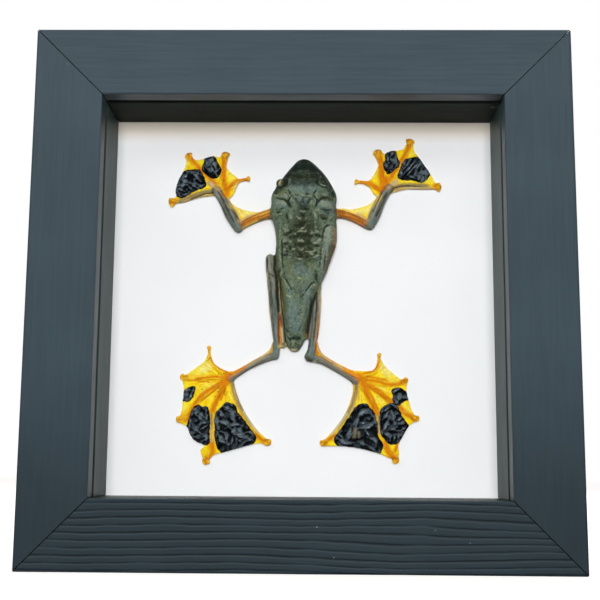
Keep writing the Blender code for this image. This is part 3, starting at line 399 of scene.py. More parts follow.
    (-0.2, 0.4, 1.8, -2.4, 0.4, -7.0, -0.9, -10.4, -1.9, -12.6),
    (-0.2, 0.35, -6.4, -9.8, -5.2, -11.4, -4.0, -12.4), (0.14, 0.4, -5.4, -9.0, -4.2, -11.2),
    (-0.5, 0.35, -4.6, -14.5, -3.3, -14.0, -2.0, -14.2, -0.7, -13.9),
    (-0.3, 0.3, -5.6, -13.2, -4.6, -14.4, -4.4, -15.4),
    (0.16, 0.4, -5.2, -13.0, -2.9, -12.9, -0.6, -13.0), (0.45, 0.45, -3.7, -16.8, -3.3, -15.2),
    (0.32, 0.3, -5.3, -15.4, -4.6, -16.6), (-0.32, 0.28, -4.4, -15.0, -4.2, -16.6),
    (-0.32, 0.28, -2.4, -14.8, -2.3, -16.6), (0.25, 0.3, -5.8, -11.6, -5.0, -13.0),
    (0.3, 0.4, -1.2, -16.2, -0.6, -15.2),
)

# Tints laid on the skin along lines: half width, then x and y of each point
TINTS = {
    # Dark marks, partly the skin's own dark colour and partly painted shade along the creases
    "murk_and_crease_shade": (
        (3.4, 0.2, 57.6, 0.2, 54.4), (2.2, -2.6, 54.6, -3.2, 52.8), (2.2, 3.0, 54.6, 3.6, 52.6),
        (1.1, -10.9, 45.2, -10.9, 47.3, -10.4, 49.0, -8.8, 49.6),
        (0.4, -10.6, 45.8, -9.6, 45.2, -8.2, 45.3), (0.5, -7.4, 48.6, -7.1, 47.2, -7.6, 45.8),
        (0.4, -6.9, 49.6, -5.4, 51.4, -3.9, 53.8), (0.3, -6.4, 48.4, -6.2, 46.8, -7.0, 45.4),
        (0.4, 7.6, 49.8, 9.8, 48.8, 11.0, 46.6), (0.3, 6.0, 48.8, 6.0, 46.6, 7.4, 45.3, 9.4, 45.2),
        (0.45, 7.6, 48.6, 8.8, 47.4), (0.45, 7.4, 50.4, 5.9, 52.4, 4.6, 54.4),
        (0.17, -4.0, 41.8, -5.0, 41.0, -5.5, 39.9, -5.4, 38.9),
        (0.17, 3.8, 41.8, 4.8, 41.0, 5.4, 39.9, 5.3, 38.9), (0.2, -5.8, 43.9, -5.1, 43.0, -4.8, 42.3),
        (0.2, 5.5, 43.9, 4.6, 43.1, 4.2, 42.4), (0.16, -3.2, 42.2, -2.4, 41.9, -1.7, 41.7),
        (0.16, 0.7, 41.8, 1.6, 42.0, 2.4, 42.2), (0.3, -5.3, 38.8, -4.8, 37.6),
        (0.3, 5.5, 38.8, 5.1, 37.6), (0.6, -10.8, 12.8, -10.0, 9.0, -9.8, 4.0, -9.5, 0.0, -9.2, -3.0),
        (0.3, -8.7, 8.0, -8.3, 2.0, -7.8, -3.0, -7.2, -7.0, -6.8, -12.0, -6.5, -15.0),
        (0.16, -12.4, 8.0, -12.0, 2.0, -11.5, -5.0, -11.0, -11.0), (0.22, -13.8, 17.0, -13.7, 14.0),
        (0.55, -10.9, 20.4, -10.9, 12.8), (0.25, -12.8, 11.4, -11.4, 10.4),
        (0.5, 5.4, 4.0, 4.2, 0.0, 3.1, -4.0, 2.4, -8.0, 1.9, -11.4),
        (0.16, 5.6, 0.0, 5.2, -5.0, 4.8, -10.0, 4.3, -14.0),
        (0.35, -4.6, -13.9, -3.0, -13.4, -1.2, -13.5), (0.4, 2.3, -16.4, 1.2, -18.6),
        (0.12, -37.2, -22.7, -35.5, -21.0), (0.13, -31.9, -33.0, -31.6, -33.3),
        (0.13, -32.3, -34.2, -32.1, -34.5), (0.12, -38.6, -33.4, -38.2, -33.6),
        (0.12, -33.4, -36.0, -33.2, -36.2), (0.12, -30.2, -27.0, -30.0, -27.3),
        (0.12, -32.4, -27.3, -32.2, -27.5), (0.12, -29.6, -35.2, -29.3, -35.6),
        (0.14, -39.6, -54.3, -38.6, -53.9), (0.22, -30.6, 38.6, -28.8, 35.2, -27.0, 31.8),
        (0.2, -32.4, 42.0, -30.6, 39.0, -29.0, 36.6),
        (0.2, -35.6, 44.3, -38.4, 44.2, -41.4, 43.2, -44.4, 42.0),
        (0.22, 28.8, 34.6, 30.8, 39.0, 33.0, 43.8), (0.2, 27.4, 36.4, 29.2, 40.4, 31.0, 44.0),
        (0.2, 35.6, 46.4, 38.4, 47.4, 42.4, 47.5, 46.4, 47.3),
    ),
    "olive": (
        (1.3, -5.8, 49.9, 0.0, 49.5, 5.8, 49.9), (1.5, -6.0, 49.0, -7.8, 46.6),
        (1.5, 6.4, 49.6, 8.0, 47.2), (1.2, -10.6, 43.4, -8.6, 44.6), (6.2, 0.2, 29.4, -0.2, 20.4),
        (0.9, 7.2, 33.6, 8.6, 32.8), (0.9, 8.0, 40.8, 11.0, 40.6), (0.8, -6.4, 39.4, -5.0, 37.4),
        (1.0, 0.2, 34.6, 0.0, 31.6), (0.7, -9.2, 12.4, -8.6, 9.0), (0.6, 4.9, 11.8, 5.6, 9.6),
        (0.9, 2.0, -21.4, 3.2, -22.2),
    ),
    "dusk": (
        (1.6, 10.6, 46.2, 11.8, 43.2), (1.2, -5.6, 49.7, 0.0, 49.4, 5.6, 49.7),
        (1.6, -5.2, 47.2, 5.2, 47.2), (0.5, -3.0, 40.2, -1.8, 38.6), (0.5, 0.0, 40.4, 0.2, 38.4),
        (0.5, 2.8, 40.2, 1.8, 38.6), (0.9, 7.6, 48.6, 9.4, 46.8), (1.3, -4.6, 53.2, 4.6, 53.2),
        (1.5, -7.0, 51.2, -5.4, 52.4), (1.5, 7.6, 51.0, 5.8, 53.0), (1.5, -0.4, 37.8, 0.4, 36.8),
        (1.0, 1.4, -18.8, 1.9, -21.0), (0.8, 3.2, 1.0, 4.6, -10.0, 3.6, -16.0),
        (0.8, -26.6, 30.4, -28.6, 34.6, -32.6, 41.6), (0.8, 27.4, 31.6, 29.6, 36.4, 32.6, 43.6),
    ),
    "teal": (
        (1.8, -3.4, 44.8, 4.2, 44.8), (1.7, -9.8, 39.0, -7.4, 38.2), (1.7, 7.4, 38.3, 10.6, 37.5),
        (1.8, 0.0, 40.2, 0.2, 39.2), (1.3, 8.4, 35.4, 10.8, 35.0), (1.0, 9.0, 22.0, 8.0, 16.0, 7.2, 10.6),
        (2.2, -3.4, -3.0, -2.9, -9.6), (1.4, 1.6, 5.4, 2.4, 0.0), (1.3, -5.0, 3.0, -4.8, -4.0),
        (1.6, -3.0, 12.6, 1.6, 11.0), (0.4, -11.0, 4.0, -10.8, -4.0, -10.3, -14.0),
        (1.7, -10.6, -16.4, -10.8, -19.2, -9.6, -20.4), (1.6, 3.8, -16.8, 3.8, -19.2, 3.6, -21.2),
        (1.0, -1.2, 14.4, -0.6, 13.0), (1.2, -27.4, 31.8, -26.0, 30.2), (1.2, 27.8, 31.6, 26.6, 32.2),
    ),
    "moss": (
        (0.7, -9.9, 27.0, -9.9, 18.0, -9.4, 12.4), (1.2, -8.4, 10.6, -7.8, 6.0, -7.2, 3.0, -6.8, -3.0),
        (1.0, -9.0, 43.2, -7.0, 42.9), (0.5, -6.4, 2.6, -5.0, 2.1), (0.7, 5.6, 6.6, 6.6, 6.2),
        (0.5, -1.9, 9.2, -1.0, 9.0), (1.1, -6.0, 15.4, -4.0, 11.0), (0.9, 3.6, 15.4, 3.4, 12.0),
    ),
    # Pale marks, partly the skin's own colour and partly painted highlights along ridges
    "pale": (
        (1.8, 10.2, 29.0, 9.9, 24.8), (0.7, 9.6, 24.0, 8.8, 17.0), (0.17, -3.6, 42.4, -1.8, 42.1),
        (0.17, -0.6, 41.9, 1.0, 41.5, 3.4, 41.6), (0.9, -9.4, 39.6, -7.4, 39.0),
        (0.9, 7.4, 39.2, 10.4, 38.4), (0.5, -5.9, 40.9, -7.2, 42.2), (0.15, -4.4, 52.4, -4.8, 51.4),
        (0.15, 5.4, 51.9, 6.2, 50.9), (0.15, 6.8, 50.2, 7.4, 49.4), (0.13, 10.9, 45.0, 11.3, 43.8),
        (0.13, 11.7, 42.6, 11.9, 41.4), (0.13, -11.2, 42.8, -11.9, 41.8), (0.45, -7.2, 28.5, -6.4, 28.2),
        (0.35, 2.6, 1.4, 2.7, -0.2),
    ),
    "rust": (
        (0.35, -8.4, 46.4, -8.2, 47.9), (1.4, 12.6, 22.4, 11.4, 18.0, 9.8, 12.6, 8.9, 9.6),
        (0.5, 1.6, -10.2, 1.7, -12.6), (0.28, -9.3, -4.6, -9.2, -10.0, -9.1, -15.4),
        (0.55, -8.4, -4.6, -8.1, -8.2), (0.14, 6.3, -4.0, 5.9, -9.0, 5.6, -14.0),
        (0.18, 5.2, -15.6, 5.3, -18.0, 5.7, -20.0), (0.16, -11.3, -15.4, -11.6, -17.6, -12.6, -19.4),
        (0.16, 6.0, -18.6, 8.0, -21.0, 12.0, -23.6), (0.9, 13.0, 36.3, 16.0, 36.1),
        (0.28, -13.0, 36.8, -19.0, 34.9, -23.8, 32.2), (0.24, -13.0, 35.5, -19.0, 33.7, -24.2, 31.0),
        (0.22, -13.0, 34.5, -17.6, 33.2), (0.3, 13.0, 37.0, 19.6, 35.5, 24.6, 32.7),
        (0.26, 13.0, 35.2, 19.6, 33.8, 24.8, 31.1), (0.22, 15.0, 36.1, 20.0, 34.7, 23.6, 32.4),
        (0.4, -47.1, 60.2, -45.9, 60.9, -44.4, 60.8), (0.4, -31.6, 61.1, -30.2, 61.1, -29.4, 60.2),
        (0.35, -53.4, 41.8, -53.2, 39.6), (0.35, 41.2, 66.6, 42.4, 66.4, 43.8, 66.8),
        (0.3, 27.9, 61.6, 29.4, 62.2, 30.8, 62.0), (0.3, 54.8, 48.2, 54.6, 46.4),
    ),
    "amber": (
        (2.0, -12.0, 36.0, -14.0, 35.7, -19.0, 33.9, -22.4, 32.2),
        (1.9, 12.4, 36.0, 15.0, 35.9, 20.0, 34.3, 22.8, 32.7),
        (0.34, -8.5, -7.0, -8.4, -11.0, -8.3, -16.0),
        (0.22, 6.1, -6.0, 5.8, -9.0, 5.5, -13.0, 5.8, -16.6), (0.55, 5.5, -16.0, 5.6, -18.0, 6.0, -20.0),
        (0.8, -22.0, -24.4, -26.6, -27.4), (0.45, 6.4, -17.4, 9.4, -20.6, 14.0, -23.8),
        (1.0, 16.0, -25.0, 21.0, -27.6),
    ),
    "ember": (
        (1.5, -28.4, -27.6, -29.2, -28.8, -29.4, -30.4),
        (0.9, -29.8, -31.0, -31.2, -34.4, -32.8, -38.0, -34.4, -41.6),
        (0.3, -28.9, -31.0, -29.8, -33.6, -31.2, -37.6),
        (0.8, -30.2, -30.2, -34.0, -32.6, -38.0, -35.0, -41.0, -38.8, -42.6, -42.4, -44.6, -45.4),
        (0.3, -30.6, -31.2, -34.6, -34.6, -38.6, -37.6),
        (0.45, -30.4, -28.8, -34.0, -28.5, -38.0, -29.0, -41.0, -29.6),
        (0.3, -36.0, -30.4, -40.0, -30.2, -44.6, -29.8),
        (0.4, -28.8, -26.6, -31.6, -25.4, -34.0, -23.4, -35.4, -21.4),
        (1.0, -34.6, -53.4, -34.0, -55.6, -33.8, -57.4, -35.4, -59.4),
        (0.8, -17.6, -50.4, -16.4, -51.8, -14.8, -53.0), (1.6, 22.0, -28.2, 23.6, -29.8, 24.0, -31.4),
        (0.45, 23.6, -27.0, 27.0, -26.0, 28.8, -24.6, 29.6, -22.0),
        (0.6, 24.6, -29.4, 29.0, -29.8, 32.6, -31.0, 36.0, -31.0, 39.0, -30.2),
        (0.4, 25.0, -28.0, 29.6, -28.8, 33.0, -29.8),
        (1.0, 24.6, -31.0, 28.6, -33.4, 31.8, -35.8, 34.6, -38.0),
        (1.0, 37.6, -39.8, 39.6, -42.0, 42.4, -43.6),
        (1.0, 23.8, -32.0, 25.6, -36.0, 27.6, -39.6, 28.8, -42.2),
        (0.3, 25.2, -32.6, 27.6, -37.0, 29.2, -40.6), (1.2, 32.0, -53.8, 33.0, -56.4, 34.6, -58.6),
        (0.6, 36.8, -53.8, 35.6, -56.4), (0.8, 12.2, -50.8, 10.6, -52.2),
        (1.0, -30.8, 46.0, -31.6, 50.0, -31.8, 54.6, -31.6, 58.6),
        (0.9, -34.8, 48.2, -38.0, 51.4, -41.6, 54.8, -44.0, 57.6, -45.4, 59.6),
        (0.7, -31.0, 45.0, -29.6, 46.6, -27.4, 48.6, -25.6, 49.8, -23.0, 50.2),
        (1.4, -30.6, 43.8, -30.2, 46.0), (1.3, 31.4, 46.6, 31.0, 51.0, 30.8, 56.0, 30.2, 60.0),
        (0.9, 34.8, 51.4, 38.4, 57.0, 40.6, 60.8, 42.2, 64.6),
        (0.9, 30.4, 45.6, 28.4, 47.2, 26.0, 48.6, 22.6, 49.2), (1.5, 31.6, 48.0, 33.4, 50.2),
    ),
    "gold": (
        (2.2, -35.2, -24.0, -38.6, -25.8, -42.0, -27.0), (0.8, -37.2, -19.0, -36.6, -21.6),
        (1.0, -37.4, -31.2, -33.6, -32.2), (0.8, -45.0, -39.2, -44.6, -41.6),
        (0.7, -27.8, -34.6, -27.0, -37.4), (0.8, -38.6, -33.2, -36.4, -36.6),
        (2.2, 30.8, -23.6, 33.0, -26.8, 35.4, -28.8), (1.0, 38.8, -38.4, 41.4, -41.2),
        (0.9, 28.4, -36.4, 31.2, -38.0), (0.8, 22.6, -35.2, 22.0, -37.8), (0.7, 30.0, -32.2, 33.2, -33.6),
        (1.1, -29.6, 52.6, -28.4, 51.0), (0.8, -42.6, 57.2, -40.8, 58.2), (0.8, -46.4, 56.4, -47.4, 54.8),
        (0.26, -1.6, 9.1, -0.8, 8.9), (0.22, -6.2, 2.6, -5.4, 2.2, -4.6, 1.9),
        (1.9, -27.0, 39.2, -22.0, 36.8, -15.6, 36.9), (0.35, -14.0, 37.3, -18.6, 35.9, -23.4, 33.4),
        (0.3, -14.0, 34.1, -18.6, 32.6, -23.6, 29.9), (0.35, 14.0, 37.5, 19.6, 36.2, 24.4, 33.7),
        (1.1, 28.9, 53.6, 27.4, 51.4), (1.7, 17.0, 37.6, 22.6, 37.5, 26.6, 39.6, 29.0, 42.6),
        (0.8, 50.4, 50.8, 51.8, 49.2), (0.6, 44.2, 61.0, 42.0, 60.6),
        (0.5, -12.0, -14.8, -12.9, -17.4, -14.8, -19.4), (0.6, -8.7, -16.8, -7.2, -17.4),
        (0.7, -15.6, -49.6, -13.6, -52.0), (0.7, 11.4, -49.8, 9.4, -51.6),
    ),
    "straw": (
        (1.1, -24.0, 36.2, -21.0, 35.8, -16.4, 36.6), (0.5, -25.6, 38.6, -24.0, 36.2),
        (1.1, 17.6, 37.4, 22.4, 36.9, 25.6, 38.2), (0.5, 25.6, 38.2, 27.6, 41.4),
        (1.3, -27.0, 48.6, -26.2, 46.2), (1.4, -36.4, -24.6, -38.4, -25.6),
        (1.4, 31.6, -24.6, 33.2, -26.4),
    ),
    "tan": (
        (0.55, 12.5, 29.0, 12.6, 26.0, 12.4, 23.4), (0.25, -9.1, 8.0, -8.9, 2.0, -8.5, -5.0),
        (0.45, 6.9, 3.0, 6.9, -2.0, 6.5, -6.0, 6.2, -11.0), (0.5, 6.2, -15.8, 6.6, -18.2, 9.0, -20.6),
        (0.5, -11.9, -15.4, -12.2, -18.0, -13.6, -19.6), (0.65, -12.2, -18.6, -16.6, -21.4, -21.6, -24.3),
        (0.7, 7.6, -20.4, 10.8, -22.4, 15.4, -25.3), (0.8, -25.0, 32.4, -22.6, 34.2, -20.6, 35.2),
        (0.8, 25.2, 33.2, 23.6, 34.8, 21.6, 36.0), (0.35, -24.8, 34.2, -26.6, 37.4, -29.6, 41.6),
        (0.35, 25.6, 35.6, 27.2, 39.0, 29.8, 43.2), (0.9, -37.4, 48.6, -34.8, 46.8, -33.6, 45.6),
        (0.9, 37.0, 49.4, 35.0, 47.6, 33.8, 46.6),
        (0.55, -36.0, 43.4, -40.4, 42.9, -44.0, 41.7, -47.6, 40.8),
        (0.55, 36.4, 45.5, 41.0, 46.4, 47.0, 46.4, 50.6, 46.6),
        (0.3, -26.5, -32.4, -25.2, -37.6, -23.6, -41.6), (0.3, 20.9, -33.6, 20.0, -38.4, 18.4, -42.0),
        (0.5, -34.6, -48.0, -34.4, -53.0), (0.4, 29.4, -47.0, 29.7, -50.0),
        (0.7, 20.5, -48.4, 20.1, -51.0), (0.4, 21.8, -49.4, 21.9, -51.2),
    ),
    # Cream margins and flecks; the first two lines are a painted highlight on the left eye
    "cream_and_eye_highlight": (
        (0.26, -9.2, 46.6, -9.0, 47.8), (0.14, -8.7, 48.0, -8.5, 48.4),
        (0.35, -6.6, -17.0, -5.2, -17.9, -3.8, -18.2, -2.2, -18.1),
        (0.3, -7.9, -9.6, -7.7, -12.0, -7.5, -15.0), (0.28, -8.2, -16.8, -7.2, -17.2),
        (0.25, 7.1, 5.0, 7.2, 0.0, 7.0, -3.0), (0.25, -13.9, 12.0, -13.5, 4.0, -12.8, -2.0, -12.2, -8.0),
        (0.34, -12.5, -15.4, -13.3, -18.0, -16.0, -20.5), (0.3, 1.2, -22.0, 2.4, -22.9, 5.2, -22.7),
        (0.6, -22.2, -42.0, -19.0, -46.6, -16.8, -49.4), (0.6, 17.2, -42.6, 14.0, -46.8, 11.6, -50.0),
        (0.35, -36.8, 48.2, -35.2, 46.4), (0.35, 36.2, 49.4, 35.0, 48.0), (0.18, 39.6, 46.8, 45.4, 47.0),
    ),
    "ash": (
        (1.05, -34.6, 45.3, -38.0, 44.9, -41.4, 44.0, -45.4, 42.2, -48.6, 41.0),
        (1.05, 34.6, 46.2, 38.0, 47.5, 42.0, 47.7, 48.6, 47.5),
        (0.75, -26.8, -30.2, -25.9, -34.6, -23.8, -39.4, -21.2, -43.8, -19.2, -46.6),
        (0.75, 21.0, -31.0, 20.4, -35.6, 18.8, -40.2, 16.2, -44.2, 14.0, -47.2),
        (0.5, -11.6, -20.8, -16.0, -22.9, -21.6, -26.0, -26.4, -29.0),
        (0.7, 8.6, -22.8, 14.0, -26.0, 18.0, -28.6, 20.8, -30.8), (0.45, -34.7, -43.0, -34.5, -48.6),
        (0.4, 29.4, -43.0, 29.5, -47.6),
    ),
}

# Lit faces of the folds in the black patches, given painted highlights and a little rise: half width,
# then x and y of each point
LIT_FACETS = (
    (0.9, -33.2, -44.4, -32.6, -46.6), (0.5, -31.8, -45.4, -28.8, -46.2, -27.0, -46.4),
    (0.6, -28.4, -41.2, -26.8, -42.0, -26.4, -44.0, -25.2, -45.8),
    (0.35, -28.2, -47.6, -25.6, -46.6, -23.2, -47.0), (0.6, -26.8, -48.4, -25.2, -49.6),
    (0.5, -24.6, -48.4, -22.8, -49.6), (0.6, -25.0, -50.4, -23.0, -50.8, -21.4, -51.4),
    (0.22, -30.4, -44.0, -31.4, -42.2), (0.2, -29.4, -43.8, -31.8, -41.2),
    (0.6, -31.6, -50.8, -30.2, -52.8, -29.0, -53.6), (0.5, -28.4, -53.2, -28.8, -50.4, -30.0, -49.6),
    (0.28, -24.2, -52.6, -23.0, -53.2), (0.22, -22.4, -52.2, -20.6, -51.0),
    (0.3, -20.8, -49.6, -19.4, -49.6, -18.6, -51.0), (0.22, -20.4, -53.0, -19.0, -52.4),
    (0.4, -29.6, -40.0, -27.6, -40.6), (0.2, -26.8, -53.8, -26.4, -52.0),
    (0.65, -41.8, -46.6, -41.0, -48.0, -39.8, -49.2), (0.4, -39.8, -43.6, -38.2, -44.8),
    (0.6, -39.4, -42.4, -37.8, -43.6), (0.5, -38.0, -46.2, -36.6, -45.8),
    (0.4, -36.8, -43.2, -36.4, -45.2), (0.3, -41.8, -41.4, -40.4, -40.6),
    (0.3, -41.6, -42.8, -39.8, -42.0), (0.5, -40.8, -51.4, -38.6, -51.4),
    (0.4, -37.8, -50.8, -36.2, -51.8, -37.4, -52.8), (0.22, -38.4, -48.4, -36.4, -47.2),
    (0.22, -42.9, -46.0, -43.2, -48.6), (0.9, -45.0, -34.8, -44.8, -36.4),
    (0.4, -43.8, -33.6, -44.8, -33.4), (0.5, -42.6, -35.0, -43.4, -36.8),
    (0.6, 21.4, -43.6, 22.6, -42.2, 25.0, -41.2, 26.8, -42.6),
    (0.45, 21.6, -43.8, 20.8, -46.0, 20.6, -48.0), (0.5, 22.0, -47.8, 25.0, -47.2, 28.0, -45.6),
    (0.5, 28.0, -43.8, 28.4, -46.4), (0.28, 19.0, -47.2, 18.0, -49.8, 16.8, -51.8),
    (0.28, 19.6, -49.4, 17.2, -52.4), (0.5, 14.4, -52.0, 16.4, -53.0, 19.0, -53.4),
    (0.22, 14.2, -50.2, 15.8, -51.6), (0.4, 22.2, -53.2, 24.6, -54.0),
    (0.4, 26.0, -51.4, 28.2, -52.4, 28.4, -54.0), (0.3, 25.6, -54.6, 28.0, -56.2),
    (0.22, 24.6, -48.8, 26.0, -51.0), (0.22, 22.6, -45.8, 24.6, -46.0),
    (0.6, 33.0, -44.8, 32.2, -46.8, 31.4, -48.0), (0.7, 34.6, -42.6, 35.2, -45.0),
    (0.3, 33.0, -41.8, 31.2, -44.2), (0.28, 33.4, -39.8, 31.2, -41.2), (0.22, 36.6, -44.6, 38.0, -44.0),
    (0.3, 37.6, -46.0, 39.6, -45.6), (0.22, 38.2, -48.4, 39.6, -47.4),
    (0.4, 31.4, -49.6, 33.4, -50.4, 33.8, -51.8), (0.3, 35.2, -52.4, 35.6, -50.6),
    (0.3, 36.8, -51.8, 37.0, -50.0), (0.22, 36.4, -48.4, 38.6, -49.0), (0.22, 34.2, -47.8, 36.2, -48.6),
    (1.0, 36.4, -35.4, 38.6, -35.6), (0.35, 35.2, -33.6, 36.8, -33.0), (0.3, 35.6, -37.2, 37.0, -38.4),
    (0.6, -46.8, 52.0, -47.6, 51.0), (0.4, -43.8, 52.6, -42.2, 51.0, -41.2, 49.8),
    (0.5, -41.4, 52.2, -42.8, 52.8), (0.5, -48.2, 49.8, -45.4, 48.8), (0.5, -48.8, 47.6, -46.8, 47.8),
    (0.5, -44.0, 48.2, -42.6, 47.2), (0.35, -49.8, 46.4, -47.6, 45.4), (0.28, -45.6, 47.2, -44.0, 45.8),
    (0.28, -41.6, 46.8, -39.6, 47.8), (0.3, -49.6, 44.6, -50.2, 45.8), (0.22, -47.2, 43.8, -45.2, 44.2),
    (0.6, -36.6, 58.6, -37.6, 56.6), (0.5, -35.8, 57.8, -34.8, 54.8), (0.3, -38.4, 57.4, -38.8, 55.6),
    (0.4, -38.2, 54.4, -36.2, 53.6, -36.8, 55.2), (0.25, -39.8, 58.6, -39.2, 57.4),
    (0.3, -35.2, 52.8, -33.8, 54.0), (0.18, 45.0, 58.4, 42.6, 55.6, 39.4, 51.8),
    (0.18, 46.2, 57.4, 43.4, 54.6, 40.6, 51.4), (0.25, 42.6, 58.0, 40.6, 55.6, 39.0, 53.6),
    (1.3, 46.8, 54.0, 46.8, 52.2), (0.8, 48.7, 53.6, 48.5, 51.8), (0.7, 45.4, 51.6, 47.0, 50.6),
    (0.35, 44.6, 54.4, 45.4, 55.8, 47.4, 56.6), (0.5, 39.6, 56.0, 40.2, 57.4),
    (0.4, 38.6, 53.6, 38.8, 52.0), (0.25, 42.0, 51.8, 43.8, 50.8), (1.0, 36.4, 58.8, 35.4, 56.8),
    (0.45, 34.8, 60.4, 35.4, 61.4), (0.3, 33.4, 59.6, 33.6, 57.4), (0.35, 32.6, 56.6, 33.2, 55.2),
    (0.35, 37.6, 57.2, 36.6, 55.4),
)

# Black patches between the fingers and toes: run of their folds in degrees, stretch along it, size
# of the folds, then x and y of the points round the edge
PATCHES = (
    (
        60.0, 1.5, 5.2,
        -30.5, -39.5, -29.0, -38.3, -27.0, -38.7, -25.2, -39.8, -24.5, -42.0, -22.0, -45.0, -19.5, -48.5,
        -17.8, -50.5, -17.3, -52.0, -18.2, -54.0, -20.0, -54.9, -24.0, -56.0, -28.0, -57.2, -30.0, -57.7,
        -31.5, -57.0, -32.8, -54.0, -33.5, -51.0, -33.3, -48.0, -33.7, -45.0, -33.0, -42.0, -31.5, -40.5,
    ),
    (
        20.0, 1.3, 4.2,
        -40.0, -39.2, -41.5, -40.0, -42.5, -42.0, -43.5, -45.0, -44.2, -47.5, -43.6, -49.5, -42.2, -51.5,
        -41.0, -53.0, -38.5, -54.2, -36.3, -54.7, -35.0, -53.5, -35.2, -50.0, -35.0, -46.0, -35.3, -43.0,
        -35.6, -41.5, -36.5, -39.7, -38.0, -40.0,
    ),
    (
        75.0, 1.6, 3.4,
        -43.0, -32.3, -41.3, -32.2, -41.0, -33.5, -41.5, -35.5, -42.5, -37.3, -44.0, -38.2, -46.0, -37.8,
        -46.2, -36.0, -45.5, -34.0, -44.3, -32.9,
    ),
    (
        115.0, 1.3, 5.0,
        23.5, -38.2, 25.0, -38.6, 26.3, -40.0, 27.8, -42.0, 28.8, -45.0, 29.2, -48.0, 29.4, -51.0,
        31.0, -53.5, 31.0, -55.5, 29.7, -57.5, 27.0, -57.0, 22.0, -55.8, 18.0, -55.1, 14.5, -54.9,
        13.0, -54.0, 12.3, -52.5, 13.5, -50.0, 16.0, -46.5, 18.5, -43.0, 20.0, -40.5, 21.5, -39.0,
    ),
    (
        30.0, 1.8, 4.2,
        33.0, -38.6, 30.5, -40.0, 29.8, -42.5, 29.8, -46.0, 29.9, -49.0, 31.0, -51.5, 33.5, -53.8,
        36.0, -53.9, 37.5, -52.8, 39.0, -50.5, 41.0, -47.3, 39.8, -45.0, 38.3, -42.7, 37.3, -40.5,
        36.5, -39.0, 35.0, -38.0,
    ),
    (
        25.0, 1.5, 3.4,
        36.0, -32.5, 37.8, -32.4, 40.2, -33.8, 40.7, -35.5, 41.0, -36.8, 38.5, -38.3, 37.3, -39.2,
        35.5, -38.2, 34.9, -37.3, 34.8, -35.0, 34.4, -33.8, 35.0, -32.8,
    ),
    (
        -25.0, 2.0, 3.6,
        -48.0, 53.3, -46.0, 54.0, -43.5, 54.2, -41.5, 54.0, -40.5, 53.0, -39.8, 51.5, -38.9, 49.5,
        -38.4, 48.2, -39.0, 46.7, -41.0, 45.9, -43.5, 44.9, -46.0, 43.3, -47.5, 42.5, -49.0, 42.3,
        -50.8, 43.7, -51.0, 45.5, -50.3, 48.0, -49.5, 50.5, -48.6, 52.3,
    ),
    (
        -70.0, 1.3, 3.4,
        -36.3, 59.9, -34.9, 58.8, -33.9, 56.5, -32.6, 54.3, -32.8, 52.5, -34.0, 50.7, -35.5, 50.2,
        -37.5, 50.8, -39.3, 52.2, -40.4, 53.8, -40.3, 55.5, -39.6, 57.5, -39.5, 58.9, -37.5, 59.4,
    ),
    (
        47.0, 3.2, 3.6,
        40.3, 58.3, 42.0, 59.0, 44.0, 59.4, 46.0, 59.4, 47.2, 57.8, 48.8, 55.5, 50.4, 52.7, 49.8, 51.0,
        48.7, 49.8, 46.5, 48.9, 45.0, 49.3, 43.0, 49.8, 40.0, 49.8, 38.2, 50.3, 37.3, 51.3, 38.0, 53.5,
        38.8, 56.0,
    ),
    (
        110.0, 1.8, 4.0,
        32.6, 61.0, 34.0, 61.9, 36.0, 62.3, 36.8, 62.0, 37.3, 60.0, 38.0, 58.5, 38.4, 57.3, 38.2, 55.8,
        37.0, 54.5, 35.0, 53.0, 33.5, 52.3, 32.5, 53.5, 31.9, 55.0, 31.7, 56.8, 32.5, 58.5,
    ),
)

# Where the digits of each hand and foot meet, and the direction of the limb that they leave
ROOTS = (
    ((-32.8, 45.2), (0.60, -0.80)),
    ((32.8, 46.0), (-0.55, -0.84)),
    ((-29.0, -29.6), (0.90, 0.44)),
    ((22.6, -30.4), (-0.88, 0.47)),
)

# The way that faces which catch the light look, in world directions
SHEEN_WAY = (-0.28, -0.76, 0.58)

# The side of a fold that the light falls on, on the board
LIT_SIDE = (-0.3, 0.95)

# Noise: the corners of a cell, the step from one seed to the next, and what scatters its slopes
CORNERS = np.array([(i, j, k) for i in (0, 1) for j in (0, 1) for k in (0, 1)])
NOISE_SEED_STEP = np.array((17.3, 9.1, 5.7))
NOISE_KEYS = np.array((73856093, 19349663, 83492791))
NOISE_MIX = 668265263
NOISE_BITS = 0xFFFFFFFF

# Paint, card, board and steel
SLATE = (0.041, 0.061, 0.074)
# The same slate darker, a painted shade for the bottom rail
SHADED_SLATE = (0.024, 0.036, 0.044)
SPACER_SLATE = (0.036, 0.064, 0.058)
# Darker copies of the spacers' paint, a painted shade for the bottom and top spacers
SPACER_BOTTOM = (0.034, 0.046, 0.034)
SPACER_TOP = (0.020, 0.025, 0.020)
GROOVE_SHADE = (0.004, 0.007, 0.009)
PAINT_DUST = (0.42, 0.44, 0.43)
CARD_DUST = (0.45, 0.42, 0.38)
CARD_SHADE = (0.78, 0.70, 0.58)

# Where the lit edge of a groove starts and ends and its shade grows, as shares of its depth
LIT_FROM = (0.14, 0.28)
LIT_TO = (0.46, 0.34)
SHADED = (0.34, 0.80)

# Scale of the brushed streaks along each axis: short along the wood, fine across it
BRUSHED_LEVEL = (45.0, 1400.0, 1400.0)
BRUSHED_UPRIGHT = (1400.0, 1400.0, 45.0)
BRUSHED_SPACER = (45.0, 900.0, 900.0)

# Heights, in metres: where the painted shade toward the paint's foot is full and where it ends, and
# where the upper spacer starts and ends its shade on the card
FOOT = (0.010, 0.080)
CARD_SHADE_HEIGHTS = (FRAME_HEIGHT - 35.0 * MM, FRAME_HEIGHT - 28.0 * MM)

